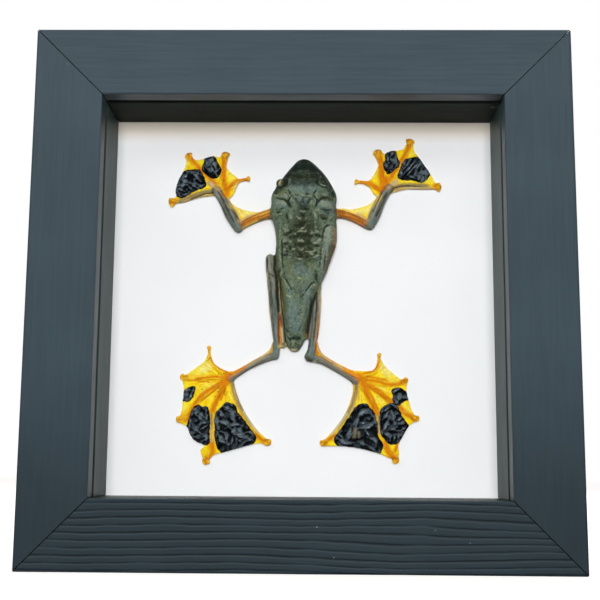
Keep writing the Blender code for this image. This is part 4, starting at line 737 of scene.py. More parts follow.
# Layers of colour, each laid over those before it. A row has the name of a tint or value, then its
# share, or the range that it is eased over with its share at either end, then the colour
BACK_LAYERS = (
    ("tinge", 0.50, 0.70, 0.0, 0.55, (0.110, 0.160, 0.145)),
    ("tinge", 0.50, 0.32, 0.0, 0.55, (0.105, 0.125, 0.055)),
    ("teal", 0.80, (0.165, 0.238, 0.222)),
    ("moss", 0.75, (0.165, 0.200, 0.095)),
    ("dusk", 0.80, (0.050, 0.074, 0.070)),
    ("olive", 0.90, (0.034, 0.041, 0.017)),
    ("rust", 0.9, (0.150, 0.078, 0.036)),
    ("gold", 0.9, (0.50, 0.56, 0.20)),
    ("tan", 0.9, (0.44, 0.24, 0.09)),
    ("pale", 0.9, (0.300, 0.350, 0.270)),
    # Painted highlight on the ridges of the folds and painted shade in their creases
    ("fold", 0.05, 0.34, 0.0, 0.82, (0.300, 0.338, 0.235)),
    ("fold", -0.04, -0.36, 0.0, 0.90, (0.016, 0.021, 0.011)),
    ("grainy", 0.52, 0.72, 0.0, 0.55, (0.280, 0.330, 0.245)),
    ("grainy", 0.50, 0.30, 0.0, 0.75, (0.024, 0.031, 0.018)),
)
LEG_LAYERS = (
    ("dusk", 0.6, (0.055, 0.070, 0.066)),
    # Painted highlight on what stands out and painted shade in the hollows
    ("hollow", 0.01, 0.12, 0.0, 0.5, (0.300, 0.310, 0.250)),
    ("hollow", -0.01, -0.12, 0.0, 0.8, (0.022, 0.022, 0.016)),
    ("teal", 0.60, (0.130, 0.205, 0.195)),
    ("olive", 0.75, (0.045, 0.050, 0.022)),
)
WEB_LAYERS = (
    ("gold", 0.9, (0.97, 0.80, 0.075)),
    ("straw", 0.85, (0.97, 0.86, 0.24)),
    ("bone", 0.4, 1.6, 0.40, 0.0, (0.82, 0.36, 0.006)),
    ("ember", 0.92, (0.70, 0.195, 0.003)),
    ("streaks", 0.44, 0.30, 0.0, 0.45, (0.66, 0.19, 0.004)),
    ("rays", (0.60, 0.14, 0.002)),
    ("streaks", 0.56, 0.72, 0.0, 0.45, (0.96, 0.70, 0.10)),
)
# Painted highlight on what stands out of the webs and painted shade in their hollows
WEB_RELIEF_LAYERS = (
    ("hollow", 0.05, 0.20, 0.0, 0.35, (0.95, 0.60, 0.10)),
    ("hollow", -0.03, -0.16, 0.0, 0.35, (0.45, 0.11, 0.005)),
)
LIMB_LAYERS = (
    ("ash", 0.80, (0.155, 0.148, 0.112)),
    ("amber", 0.9, (0.78, 0.26, 0.014)),
    ("limb ember", (0.70, 0.20, 0.004)),
    ("limb gold", (0.88, 0.62, 0.10)),
    ("tan", 0.8, (0.56, 0.38, 0.18)),
    ("rust", 0.75, (0.20, 0.045, 0.010)),
)
TOP_LAYERS = (
    ("cream_and_eye_highlight", 0.85, (0.66, 0.55, 0.30)),
    ("murk_and_crease_shade", 0.95, (0.010, 0.017, 0.014)),
)
PATCH_LAYERS = (
    # Painted sheen where a patch faces the light, painted highlights on the lit faces of its folds and on
    # what stands out, and painted shade in its hollows
    ("sheen", (0.036, 0.048, 0.060)),
    ("shine", (0.128, 0.166, 0.194)),
    ("glint", (0.300, 0.360, 0.400)),
    ("hollow", 0.05, 0.28, 0.0, 0.6, (0.110, 0.145, 0.170)),
    ("hollow", -0.04, -0.22, 0.0, 0.9, (0.002, 0.003, 0.004)),
    ("tan", 0.55, (0.30, 0.26, 0.17)),
)

# The middle of the frame, which the lamps are aimed at, and the way to the photographer
LAMP_AIM = Vector((0.0, 0.0, 0.10))
PHOTOGRAPHER_WAY = Vector((0.0, -1.0, 0.12)).normalized()

# Camera: place in metres, and pitch, yaw and roll from looking straight into the frame
CAMERA_PLACE = (0.00569, -0.39621, 0.03737)
CAMERA_TURN = (0.15518, 0.01528, 0.00705)
CAMERA_FOCUS_PX = 1057.0
PHOTO_WIDTH_PX = 600.0
SENSOR = 36.0


def smooth_rows(rows, steps, closed=False):
    """The rows of numbers with others between them, on a Catmull-Rom curve through them all."""
    rows = np.asarray(rows, float)
    if closed:
        padded = np.vstack((rows[-1:], rows, rows[:2]))
    else:
        padded = np.vstack((rows[:1], rows, rows[-1:]))
    share = (np.arange(steps) / steps)[:, None]
    result = []
    for a, b, c, d in zip(padded, padded[1:], padded[2:], padded[3:]):
        bend = 2 * a - 5 * b + 4 * c - d + share * (3 * b - a - 3 * c + d)
        result.append(b + share * (c - a + share * bend) / 2)
    if not closed:
        result.append(rows[-1:])
    return np.vstack(result)


def eased(value, low, high):
    """0 below low and 1 above high, with a soft change between them."""
    share = np.clip((value - low) / (high - low), 0.0, 1.0)
    return share * share * (3.0 - 2.0 * share)


def band(value, stops):
    """1 between the second stop and the third, with a soft change to 0 at the first and the last."""
    return eased(value, *stops[:2]) * (1.0 - eased(value, *stops[2:]))


def line_reach(places, line):
    """How far places are from a line in plan, how far along it, and how far to its left side."""
    best = np.full(len(places), np.inf)
    along = np.zeros(len(places))
    aside = np.zeros(len(places))
    run = 0.0
    line = np.asarray(line, float)[:, :2]
    for start, end in zip(line, line[1:]):
        way = end - start
        length = max(np.linalg.norm(way), 1e-6)
        way = way / length
        gap = places[:, :2] - start
        share = np.clip(gap @ way, 0.0, length)
        gap = gap - share[:, None] * way
        reach = np.linalg.norm(gap, axis=1)
        nearer = reach < best
        best[nearer] = reach[nearer]
        along[nearer] = run + share[nearer]
        aside[nearer] = (way[0] * gap[:, 1] - way[1] * gap[:, 0])[nearer]
        run += length
    return best, along, aside


def edge_reach(places, edge):
    """How far places are inside a closed edge in plan; negative outside it."""
    edge = np.asarray(edge, float)
    reach = line_reach(places, np.vstack((edge, edge[:1])))[0]
    inside = np.zeros(len(places), bool)
    x, y = places[:, 0], places[:, 1]
    for (x0, y0), (x1, y1) in zip(edge, np.roll(edge, -1, axis=0)):
        if y0 == y1:
            continue
        crosses = (y0 > y) != (y1 > y)
        inside ^= crosses & (x < (x1 - x0) * (y - y0) / (y1 - y0) + x0)
    return np.where(inside, reach, -reach)


def rough(places, size, seed=0.0):
    """Smooth noise from about -1 to 1 at each place, with bumps of about this size."""
    spots = np.asarray(places, float) / size + seed * NOISE_SEED_STEP
    cells = np.floor(spots).astype(np.int64)
    share = spots - cells
    ease = share**3 * (share * (share * 6.0 - 15.0) + 10.0)
    total = np.zeros(len(spots))
    for corner in CORNERS:
        key = (cells + corner) @ NOISE_KEYS
        key = (key ^ (key >> 15)) * NOISE_MIX & NOISE_BITS
        key = key ^ (key >> 13)
        slope = np.stack([(key >> shift) % 256 for shift in (0, 7, 14)], axis=1) / 127.5 - 1.0
        weight = np.prod(np.where(corner, ease, 1.0 - ease), axis=1)
        total += weight * np.sum(slope * (share - corner), axis=1)
    return 1.5 * total


def creased(places, size, seed=0.0):
    """Sharp ridges between flat hollows, as of crumpled skin, from 0 to about 1."""
    places = np.asarray(places, float)
    total = np.zeros(len(places))
    weight = 1.0
    for octave in range(3):
        waves = np.abs(rough(places, size / 2.1**octave, seed + octave))
        ridge = 1.0 - np.clip(1.6 * waves, 0.0, 1.0)
        total += weight * ridge**2 * 0.5**octave
        weight = np.clip(1.5 * ridge, 0.0, 1.0)
    return total / 1.5


class Shells:
    """Points and faces of closed shells, in mm over the board, before they are grown together."""

    def __init__(self):
        self.points = []
        self.faces = []
        self.count = 0

    def add(self, points, faces):
        """Adds a shell; its faces name their corners by the number among its own points."""
        self.points.append(np.asarray(points, float))
        self.faces += [[corner + self.count for corner in face] for face in faces]
        self.count += len(points)

    def loft(self, rings):
        """A closed shell through rings of equal numbers of points, capped at both ends."""
        sides = len(rings[0])
        faces = []
        for row in range(len(rings) - 1):
            for side in range(sides):
                after = (side + 1) % sides
                low, high = row * sides, (row + 1) * sides
                faces.append((low + side, low + after, high + after, high + side))
        faces.append(tuple(reversed(range(sides))))
        faces.append(tuple(range((len(rings) - 1) * sides, len(rings) * sides)))
        self.add(np.vstack(rings), faces)

    def tube(self, stations, sides=LIMB_SIDES, steps=4):
        """A tapered limb through stations of x, y, height and radius, with rounded ends."""
        rows = smooth_rows(stations, steps)
        ways = np.gradient(rows[:, :3], axis=0)
        ways /= np.linalg.norm(ways, axis=1)[:, None]
        turns = np.linspace(0.0, 2.0 * math.pi, sides, endpoint=False)
        rings = []

        def ring(place, way, radius):
            """A ring round this place, square to this way."""
            across = np.cross((0.0, 0.0, 1.0), way)
            across /= np.linalg.norm(across)
            up = np.cross(way, across)
            wheel = np.cos(turns)[:, None] * across + np.sin(turns)[:, None] * up
            return place + radius * wheel

        def round_end(end, turns_past):
            """Rings that close the first or the last station with a dome."""
            for turn in turns_past:
                reach = rows[end, 3] * math.sin(turn * math.pi / 2)
                size = rows[end, 3] * math.cos(turn * math.pi / 2)
                rings.append(ring(rows[end, :3] + reach * ways[end], ways[end], size))

        round_end(0, [-turn for turn in reversed(END_TURNS)])
        for row, way in zip(rows, ways):
            rings.append(ring(row[:3], way, row[3]))
        round_end(-1, END_TURNS)
        self.loft(rings)

    def lump(self, place, radii, rings=7, sides=LIMB_SIDES):
        """A rounded lump with its own radius in each direction: across, up and out of the board."""
        turns = np.linspace(0.0, 2.0 * math.pi, sides, endpoint=False)
        shells = []
        for tilt in np.linspace(-1.35, 1.35, rings):
            wheel = np.stack((np.cos(turns), np.sin(turns), np.full(sides, math.tan(tilt))), axis=1)
            shells.append(place + np.asarray(radii) * wheel * math.cos(tilt))
        self.loft(shells)

    def web(self, edge, low, high):
        """A thin web with a smooth scalloped edge, lying flat over the board."""
        outline = smooth_rows(edge, 4, closed=True)
        x, y = outline.T
        if np.sum(x * np.roll(y, -1) - y * np.roll(x, -1)) < 0:
            outline = outline[::-1]
        levels = [np.column_stack((outline, np.full(len(outline), level))) for level in (low, high)]
        self.loft(levels)


def body_rings():
    """The rings round the trunk and head: flat underneath, full at the sides."""
    turns = np.linspace(0.0, 2.0 * math.pi, BODY_SIDES, endpoint=False)
    across = np.sign(np.cos(turns)) * np.abs(np.cos(turns)) ** BODY_SQUARENESS
    lift = np.abs(np.sin(turns)) ** BODY_SQUARENESS
    above = np.sin(turns) >= 0
    rings = []
    for y, left, right, crown in smooth_rows(BODY_SECTIONS, 4):
        waist = WAIST_SHARE * crown
        x = (left + right) / 2 + (right - left) / 2 * across
        h = np.where(above, waist + (crown - waist) * lift, waist - (waist - BELLY_HEIGHT) * lift)
        rings.append(np.column_stack((x, np.full(len(turns), y), h)))
    return rings[::-1]


def pad(shells, digit, radius, flare):
    """A flat round pad at a digit's tip, spread to both sides."""
    tip = digit[-1]
    way = tip - digit[-2]
    way = way / np.linalg.norm(way)
    across = np.array((-way[1], way[0]))
    height = DIGIT_REST + PAD_HALF_THICKNESS
    middle = tip + 0.1 * radius * way
    shells.lump((*middle, height), (PAD_MIDDLE * radius, PAD_MIDDLE * radius, PAD_HALF_THICKNESS))
    for side in (-1, 1):
        lobe = tip + flare * radius * side * across + 0.4 * flare * radius * way
        shells.lump((*lobe, height), (PAD_LOBE * radius, PAD_LOBE * radius, 0.9 * PAD_HALF_THICKNESS))


def frog_shells():
    """The trunk, eyes, limbs, digits and webs, before they are grown together."""
    shells = Shells()
    shells.loft(body_rings())
    for stations in LIMBS:
        shells.tube(stations)
    for kind, digits in DIGITS.items():
        flare = FINGER_FLARE if kind.endswith("finger") else TOE_FLARE
        for digit, radius in zip(digits, TIP_RADII[kind]):
            radii = np.linspace(DIGIT_BASE_RADIUS, DIGIT_TIP_RADIUS, len(digit))
            stations = [(x, y, DIGIT_REST + r, r) for (x, y), r in zip(digit, radii)]
            shells.tube(stations, sides=DIGIT_SIDES)
            pad(shells, digit, radius, flare)
    low = WEB_HEIGHT - WEB_THICKNESS / 2
    high = WEB_HEIGHT + WEB_THICKNESS / 2
    for edge in WEBS:
        shells.web(edge, low, high)
    for x, y, h, radius in EYES:
        shells.lump((x, y, h), (radius, radius, radius))
    return shells


def put_up(name, data):
    """Adds a piece, a lamp or a camera to the scene."""
    thing = bpy.data.objects.new(name, data)
    bpy.context.scene.collection.objects.link(thing)
    return thing


def new_mesh(name, points, faces):
    """A mesh of these points and faces."""
    mesh = bpy.data.meshes.new(name)
    mesh.from_pydata(points, [], faces)
    mesh.update()
    return mesh


def grown_together(shells, voxel):
    """One closed skin round all the shells, in mm over the board."""
    mesh = new_mesh("shells", np.vstack(shells.points).tolist(), shells.faces)
    holder = put_up("shells", mesh)
    remesh = holder.modifiers.new("Grown", "REMESH")
    remesh.mode = "VOXEL"
    remesh.voxel_size = voxel
    bpy.context.view_layer.update()
    grown = holder.evaluated_get(bpy.context.evaluated_depsgraph_get())
    skin = bpy.data.meshes.new_from_object(grown)
    bpy.data.objects.remove(holder)
    bpy.data.meshes.remove(mesh)
    return skin


def read_points(mesh):
    """The places of a mesh's points."""
    flat = np.empty(len(mesh.vertices) * 3)
    mesh.vertices.foreach_get("co", flat)
    return flat.reshape(-1, 3)


def read_normals(mesh):
    """The directions that a mesh's points face."""
    flat = np.empty(len(mesh.vertices) * 3)
    mesh.vertex_normals.foreach_get("vector", flat)
    return flat.reshape(-1, 3)


def read_edges(mesh):
    """The pairs of points that a mesh's edges join."""
    flat = np.empty(len(mesh.edges) * 2, np.int64)
    mesh.edges.foreach_get("vertices", flat)
    return flat.reshape(-1, 2)


def write_points(mesh, points):
    """Moves a mesh's points to these places."""
    mesh.vertices.foreach_set("co", points.ravel())
    mesh.update()


def relaxed(points, edges, rounds, share):
    """The points, each drawn part of the way to the middle of its neighbours, over and over."""
    ends = np.concatenate((edges[:, 0], edges[:, 1]))
    others = np.concatenate((edges[:, 1], edges[:, 0]))
    count = np.bincount(ends, minlength=len(points))[:, None]
    for _ in range(rounds):
        sums = [np.bincount(ends, points[others, axis], len(points)) for axis in range(3)]
        points = points + share * (np.stack(sums, axis=1) / count - points)
    return points


def note(mesh, name, values):
    """Keeps a number for each point of the mesh, for its material to read."""
    kept = mesh.attributes.new(name, "FLOAT", "POINT")
    kept.data.foreach_set("value", np.asarray(values, np.float32))


def note_vectors(mesh, name, values):
    """Keeps three numbers for each point of the mesh, for its material to read."""
    kept = mesh.attributes.new(name, "FLOAT_VECTOR", "POINT")
    kept.data.foreach_set("vector", np.asarray(values, np.float32).ravel())


def near_line(places, line, room):
    """Which places are in the box round a line, with this much room."""
    low = line.min(axis=0)[:2] - room
    high = line.max(axis=0)[:2] + room
    return np.all((places[:, :2] > low) & (places[:, :2] < high), axis=1)


def line_mask(places, strokes):
    """1 on the lines, falling to 0 past their half width."""
    mask = np.zeros(len(places))
    for half_width, *line in strokes:
        line = smooth_rows(points_of(line), 3)
        near = near_line(places, line, 2.5 * half_width)
        reach = line_reach(places[near], line)[0]
        mask[near] = np.maximum(mask[near], np.exp(-((reach / (1.1 * half_width)) ** 3)))
    return mask


def flow_rows(aside, along, number):
    """Rows of a place's run across and along a form, and the number that tells this form's noise."""
    return np.stack((aside, along, np.full(len(aside), number)), axis=1)


def facet_mask(places):
    """The lit faces of folds, for their painted highlights and their rise, sharp along the ridge below,
    and each place's run along its fold.
    """
    mask = np.zeros(len(places))
    flow = np.zeros((len(places), 3))
    vary = 1.0 + UNEVEN_LINES * rough(places * IN_PLAN, size=1.1, seed=31.0)
    for number, (half_width, *line) in enumerate(LIT_FACETS):
        line = smooth_rows(points_of(line), 3)
        near = np.flatnonzero(near_line(places, line, 2.5 * half_width))
        reach, along, aside = line_reach(places[near], line)
        length = np.sum(np.linalg.norm(np.diff(line, axis=0), axis=1))
        way = line[-1] - line[0]
        side = 1.0 if way[0] * LIT_SIDE[1] - way[1] * LIT_SIDE[0] > 0.0 else -1.0
        ends = eased(np.minimum(along, length - along), 0.0, 0.4 * length)
        ends *= 1.0 - eased(np.sqrt(np.maximum(reach**2 - aside**2, 0.0)), 0.0, 0.6)
        share = side * aside / (half_width * (0.75 + 0.75 * ends) * vary[near])
        face = eased(share, -1.25, -0.75) * (1.0 - 0.65 * eased(share, -0.7, 1.0))
        face *= (1.0 - eased(share, 0.9, 1.5)) * (0.5 + 0.5 * ends)
        brighter = face > mask[near]
        mask[near[brighter]] = face[brighter]
        flow[near[brighter]] = flow_rows(aside, along, 3.7 * number)[brighter]
    return mask, flow


def body_share(places):
    """1 on the trunk and head, 0 on limbs and webs."""
    rows = smooth_rows(BODY_SECTIONS, 4)[::-1]
    left = np.interp(places[:, 1], rows[:, 0], rows[:, 1])
    right = np.interp(places[:, 1], rows[:, 0], rows[:, 2])
    inside = np.minimum(places[:, 0] - left, right - places[:, 0])
    inside = np.minimum(inside, np.minimum(places[:, 1] - rows[0, 0], rows[-1, 0] - places[:, 1]))
    for x, y, _, radius in EYES:
        inside = np.maximum(inside, radius + 0.4 - np.linalg.norm(places[:, :2] - (x, y), axis=1))
    return eased(inside, -0.5, 0.1)


def limb_share(places):
    """1 on arms and legs, 0 elsewhere, with each place's run along and across the nearest limb."""
    best = np.full(len(places), np.inf)
    flow = np.zeros((len(places), 3))
    for number, stations in enumerate(LIMBS):
        rows = smooth_rows(stations, 4)
        reach, along, aside = line_reach(places, rows)
        steps = np.linalg.norm(np.diff(rows[:, :2], axis=0), axis=1)
        runs = np.concatenate(([0.0], np.cumsum(steps)))
        height = np.interp(along, runs, rows[:, 2])
        radius = np.interp(along, runs, rows[:, 3])
        gap = np.hypot(reach, places[:, 2] - height) - radius
        nearer = gap < best
        best[nearer] = gap[nearer]
        flow[nearer] = flow_rows(aside, along, 7.0 * number)[nearer]
    return 1.0 - eased(best, 0.25, 0.7), flow


def web_flow(places):
    """Each place's turn round the root of its hand or foot and its distance from it."""
    flow = np.zeros((len(places), 3))
    best = np.full(len(places), np.inf)
    for number, (root, way) in enumerate(ROOTS):
        gap = places[:, :2] - np.array(root)
        reach = np.linalg.norm(gap, axis=1)
        turn = np.arctan2(gap[:, 0] * way[1] - gap[:, 1] * way[0], -(gap @ np.array(way)))
        nearer = reach < best
        best[nearer] = reach[nearer]
        flow[nearer] = flow_rows(turn * 10.0, reach, 11.0 * number)[nearer]
    return flow


def torn(places, size, amount, seed):
    """The places shifted by a little noise, so that an edge measured from them runs unevenly."""
    flat = places * IN_PLAN
    shift = np.stack((rough(flat, size, seed), rough(flat, size, seed + 1.0)), axis=1)
    moved = places.copy()
    moved[:, :2] += amount * shift
    return moved


def back_forms(places):
    """The large ridges and hollows of the back, in mm of lift."""
    lift = np.zeros(len(places))
    for *line, width, height in BACK_FORMS:
        reach = line_reach(places, points_of(line))[0]
        lift += height * np.exp(-((reach / width) ** 2))
    return lift


def skin_folds(places):
    """The creases and ridges of the skin, in mm of lift."""
    warped = torn(places, size=1.3, amount=0.20, seed=4.0)
    warped = torn(warped, size=0.6, amount=0.10, seed=14.0)
    vary = 1.0 + UNEVEN_LINES * rough(places * IN_PLAN, size=1.4, seed=15.0)
    lift = np.zeros(len(places))
    for height, width, *line in FOLDS:
        line = smooth_rows(points_of(line), 4)
        near = near_line(places, line, 3.0 * width + 0.5)
        reach, along, _ = line_reach(warped[near], line)
        length = np.sum(np.linalg.norm(np.diff(line, axis=0), axis=1))
        fade = 0.45 + 0.55 * eased(np.minimum(along, length - along), 0.0, 0.35 * length)
        section = np.exp(-((reach / (width * (0.6 + 0.4 * fade))) ** 2))
        lift[near] += height * fade * vary[near] * section
    return lift


def wrinkles(places):
    """The finer crumples between the folds: dense on the back, larger on the head, slight behind."""
    x, y = places[:, 0], places[:, 1]
    warped = torn(places, size=2.2, amount=0.7, seed=20.0)
    back = band(y, BACK_BAND) * (1.0 - eased(np.abs(x), *BACK_SIDES))
    head = band(y, HEAD_BAND)
    rest = 1.0 - np.maximum(back, head)
    small = creased(warped * (0.8, 1.2, 0.0), size=2.6, seed=21.0) - 0.5
    large = creased(warped * IN_PLAN, size=5.5, seed=22.0) - 0.5
    long = creased(warped * (1.5, 0.5, 0.0), size=3.5, seed=23.0) - 0.5
    ahead = head * (0.22 * large + 0.10 * small)
    behind = rest * (0.22 * long + 0.12 * small)
    return back * 0.30 * small + ahead + behind


def crumpled(places, turn, stretch, size, seed):
    """The folds of a dried black patch, from 0 to 1."""
    run = math.radians(turn)
    along = np.array((math.cos(run), math.sin(run)))
    across = np.array((-math.sin(run), math.cos(run)))
    flat = flow_rows(places[:, :2] @ along / stretch, places[:, :2] @ across, 0.0)
    flat[:, 0] += 0.9 * rough(flat, 1.2 * size, seed + 2.0)
    flat[:, 1] += 1.1 * rough(flat, 1.1 * size, seed + 3.0)
    return creased(flat, size, seed)


def digit_reaches(places):
    """How far places are from the middle of the nearest finger or toe, and from the nearest tip."""
    digits = [digit for kind in DIGITS.values() for digit in kind]
    bone = np.full(len(places), FAR)
    for digit in digits:
        bone = np.minimum(bone, line_reach(places, smooth_rows(digit, 3))[0])
    tips = np.array([digit[-1] for digit in digits])
    return bone, np.min(np.linalg.norm(places[:, None, :2] - tips, axis=2), axis=1)


def patch_folds(places):
    """How far places are inside a black patch, negative outside, and its folds there."""
    uneven = torn(places, size=1.1, amount=0.30, seed=8.0)
    patch = np.full(len(places), -FAR)
    crumple = np.zeros(len(places))
    for number, (turn, stretch, size, *edge) in enumerate(PATCHES):
        reach = edge_reach(uneven, smooth_rows(points_of(edge), 3, closed=True))
        near = reach > -0.5
        crumple[near] = crumpled(places[near], turn, stretch, size, 5.0 * number)
        patch = np.maximum(patch, reach)
    return patch, crumple


def build_frog():
    """The dried frog, one skin from snout to toes, with its folds, tendons and crumpled patches."""
    mesh = grown_together(frog_shells(), SKIN_VOXEL)
    edges = read_edges(mesh)
    places = relaxed(read_points(mesh), edges, SKIN_ROUNDS, RELAXING)
    write_points(mesh, places)

    body = body_share(places)
    limb, limb_flow = limb_share(places)
    limb = limb * (1.0 - body)
    web = (1.0 - body) * (1.0 - limb)
    bone, tip = digit_reaches(places)
    margin = np.full(len(places), -FAR)
    for edge in WEBS:
        margin = np.maximum(margin, edge_reach(places, smooth_rows(edge, 3, closed=True)))
    patch, crumple = patch_folds(places)
    patched = eased(patch, -0.1, 0.7) * web

    folds = (skin_folds(places) + wrinkles(places)) * body
    fine = rough(places, 0.9, 1.0) * 0.6 + rough(places, 0.45, 2.0) * 0.4
    broad = rough(places, 2.6, 3.0)
    streak = rough(limb_flow * (1.3, 0.14, 1.0), 1.0, 6.0)
    flow = web_flow(places)
    ray = rough(flow * (0.55, 0.10, 1.0), 1.0, 7.0)
    flat = places * IN_PLAN
    wave = rough(flat, 6.5, 9.0) + 0.4 * rough(flat, 2.4, 10.0)

    flat_web = web * (1.0 - patched)
    crown = np.maximum(places[:, 2] - WEB_CROWN, 0.0)
    places[:, 2] -= WEB_SINKING * crown * flat_web * eased(2.4 - places[:, 2], 0.0, 0.5)

    outward = read_normals(mesh)
    facing = np.clip(outward[:, 2], 0.0, 1.0)
    lift = (back_forms(places) * FORM_SHARE + FOLD_SHARE * folds) * facing * body
    swell = (BODY_FINE * fine + BODY_BROAD * broad) * body
    swell += (LIMB_STREAK * streak + LIMB_FINE * fine) * limb
    tendon = np.exp(-(((bone - TENDON_OFFSET) / TENDON_SPREAD) ** 2)) * eased(margin, 0.0, 1.2)
    rise = web * (WEB_LIFT + WEB_WAVE * wave * eased(margin, -0.2, 1.5) + WEB_RAY * ray)
    facet, facet_flow = facet_mask(torn(places, size=1.0, amount=0.22, seed=13.0))
    rise += patched * (crumple - PATCH_LEVEL + FACET_RISE * facet)
    pinch = TENDON_PINCH * tendon * web * facing
    places = places + outward * (swell + pinch)[:, None]
    places[:, 2] += lift + rise
    places[:, 2] = np.maximum(places[:, 2], LOWEST_SKIN)
    stand_out = places - relaxed(places, edges, HOLLOW_ROUNDS, RELAXING)
    hollow = np.sum(stand_out * outward, axis=1)
    write_points(mesh, to_world(places))

    numbers = {"body": body, "limb": limb, "bone": bone, "tip": tip, "patch": patch, "facet": facet}
    # What stands out of the skin and its folds, for painted highlights on ridges and painted shade in
    # creases and hollows
    numbers["hollow"] = hollow
    numbers["fold"] = folds + 1.2 * hollow * body
    numbers["gleam"] = read_normals(mesh) @ np.array(SHEEN_WAY)
    worn = torn(places, size=1.3, amount=0.18, seed=12.0)
    for name, strokes in TINTS.items():
        numbers[name] = line_mask(worn, strokes)
    for name, values in numbers.items():
        note(mesh, name, values)
    run = np.where((web > 0.5)[:, None], flow, limb_flow * (1.5, 0.35, 1.0))
    run = np.where((patch > -0.3)[:, None], facet_flow * (2.6, 2.2, 1.0), run)
    note_vectors(mesh, "run", run)
    mesh.name = "dried_frog"
    mesh.shade_smooth()
    return put_up("dried_frog", mesh)


def to_world(places):
    """World places of points in mm over the board."""
    x, y, h = places.T
    return np.stack((x * MM, BOARD_Y - h * MM, FRAME_HEIGHT / 2 + y * MM), axis=1)


def rounded_outline(corners, steps=5):
    """A closed outline with each corner of inward, depth and radius rounded, and runs between."""
    count = len(corners)
    points = []
    for index, (x, y, radius) in enumerate(corners):
        here = np.array((x, y))
        before = np.array(corners[index - 1][:2]) - here
        after = np.array(corners[(index + 1) % count][:2]) - here
        before = before / np.linalg.norm(before)
        after = after / np.linalg.norm(after)
        if radius == 0.0:
            points.append(here)
            continue
        middle = here + radius * (before + after)
        for step in range(steps + 1):
            turn = math.pi / 2 * step / steps
            points.append(middle - radius * (after * math.cos(turn) + before * math.sin(turn)))
    return points


def rail_profile(face_step):
    """Round a rail's section: inward, depth, the way out of the wood, and how much grain shows."""
    corners = (
        (0.0, 0.0, OUTER_ARRIS),
        (RAIL_FACE, 0.0, INNER_ARRIS),
        (RAIL_FACE, LIP_DEPTH, 0.0),
        (WALL, LIP_DEPTH, 0.0),
        (WALL, FRAME_DEPTH, 0.0),
        (0.0, FRAME_DEPTH, INNER_ARRIS),
    )
    points = rounded_outline(corners)
    rows = []
    for start, end in zip(points, points[1:] + points[:1]):
        length = np.linalg.norm(end - start)
        middle = (start + end) / 2
        hidden = WALL - GAP < middle[0] < RAIL_FACE - GAP and middle[1] > GAP
        hidden = hidden or middle[1] > FRAME_DEPTH - GAP
        front = middle[1] < GAP and length > INNER_ARRIS
        pitch = HIDDEN_STEP if hidden else face_step if front else SIDE_STEP
        pieces = max(1, round(length / pitch))
        way = (end - start) / max(length, 1e-9)
        for step in range(pieces):
            place = start + (end - start) * step / pieces
            rows.append((*place, way[1], -way[0], 0.0 if hidden else 1.0))
    return np.array(rows)


def raised_grain(along, across, depth, pitch, seed):
    """How deep the grooves between the wood's raised rings are, at places on a rail's face."""
    flat = flow_rows(along.ravel() / GRAIN_RUN, across.ravel() / GRAIN_REACH, seed)
    drift = rough(flat, 1.0, seed).reshape(along.shape)
    ripple = rough(flat * (6.0, 1.0, 1.0), 1.0, seed + 1.0).reshape(along.shape)
    rings = (across + GRAIN_DRIFT * drift + GRAIN_RIPPLE * ripple + GRAIN_SLANT * along) / pitch
    line = np.floor(rings)
    share = rings - line
    strength = GROOVE_STRENGTH + RING_UNLIKE * np.sin(line * 2.4 + seed) + GROOVE_FADING * ripple
    slope = RING_SLOPE * np.mod(share - RING_TOP, 1.0)
    groove = slope + (1.0 - RING_SLOPE) * np.exp(-(((share - GROOVE_PLACE) / GROOVE_SPREAD) ** 2))
    return depth * np.clip(strength, *GROOVE_LIMITS) * groove


def build_rail(side):
    """One mitred rail, finely meshed so that its grain is real relief."""
    turn, length, reach = SIDES[side]
    depth, pitch, step, seed = RAIL_GRAIN[side]
    rows = rail_profile(step)
    share = np.linspace(-1.0, 1.0, RAIL_STATIONS)
    inward, back, out_inward, out_back, shown = rows.T
    half = length / 2 - inward - MITRE_SETBACK
    along = share[:, None] * half[None, :]
    steps = np.hypot(np.diff(inward, prepend=inward[:1]), np.diff(back, prepend=back[:1]))
    across = np.broadcast_to(np.cumsum(steps), along.shape)
    groove = raised_grain(along, across, depth, pitch, seed) * shown
    y = FRONT_Y + (back - out_back * groove)
    z = inward - out_inward * groove - reach
    place = np.stack((along, y, z), axis=-1).reshape(-1, 3)
    place = place @ np.array(Matrix.Rotation(turn, 3, "Y")).T
    place[:, 2] += FRAME_HEIGHT / 2
    sides = len(rows)
    station = np.arange(RAIL_STATIONS - 1)[:, None] * sides
    near = station + np.arange(sides)
    far = station + np.roll(np.arange(sides), -1)
    quads = np.stack((near, far, far + sides, near + sides), axis=-1).reshape(-1, 4).tolist()
    quads.append(list(reversed(range(sides))))
    quads.append(list(range((RAIL_STATIONS - 1) * sides, RAIL_STATIONS * sides)))
    mesh = new_mesh("rail_" + side, place.tolist(), quads)
    note(mesh, "groove", groove.ravel() / RAIL_GRAIN["bottom"][0])
    mesh.shade_smooth()
    mesh.set_sharp_from_angle(angle=math.radians(40))
    return put_up("rail_" + side, mesh)


def add(tree, kind, settings=None, **inputs):
    """A new node with its settings, and its inputs set or linked by name."""
    made = tree.nodes.new(kind)
    for key, value in (settings or {}).items():
        setattr(made, key, value)
    for key, value in inputs.items():
        feed(tree, made.inputs[key.replace("_", " ")], value)
    return made


def feed(tree, socket, value):
    """Links a socket to another one, or sets its value; a colour is given as three numbers."""
    if isinstance(value, bpy.types.NodeSocket):
        tree.links.new(value, socket)
    elif socket.type == "RGBA":
        socket.default_value = (*value, 1.0)
    else:
        socket.default_value = value


def fed(tree, node, values, output=0):
    """The output of a node whose first inputs are given these values, in order."""
    for socket, value in zip(node.inputs, values):
        feed(tree, socket, value)
    return node.outputs[output]


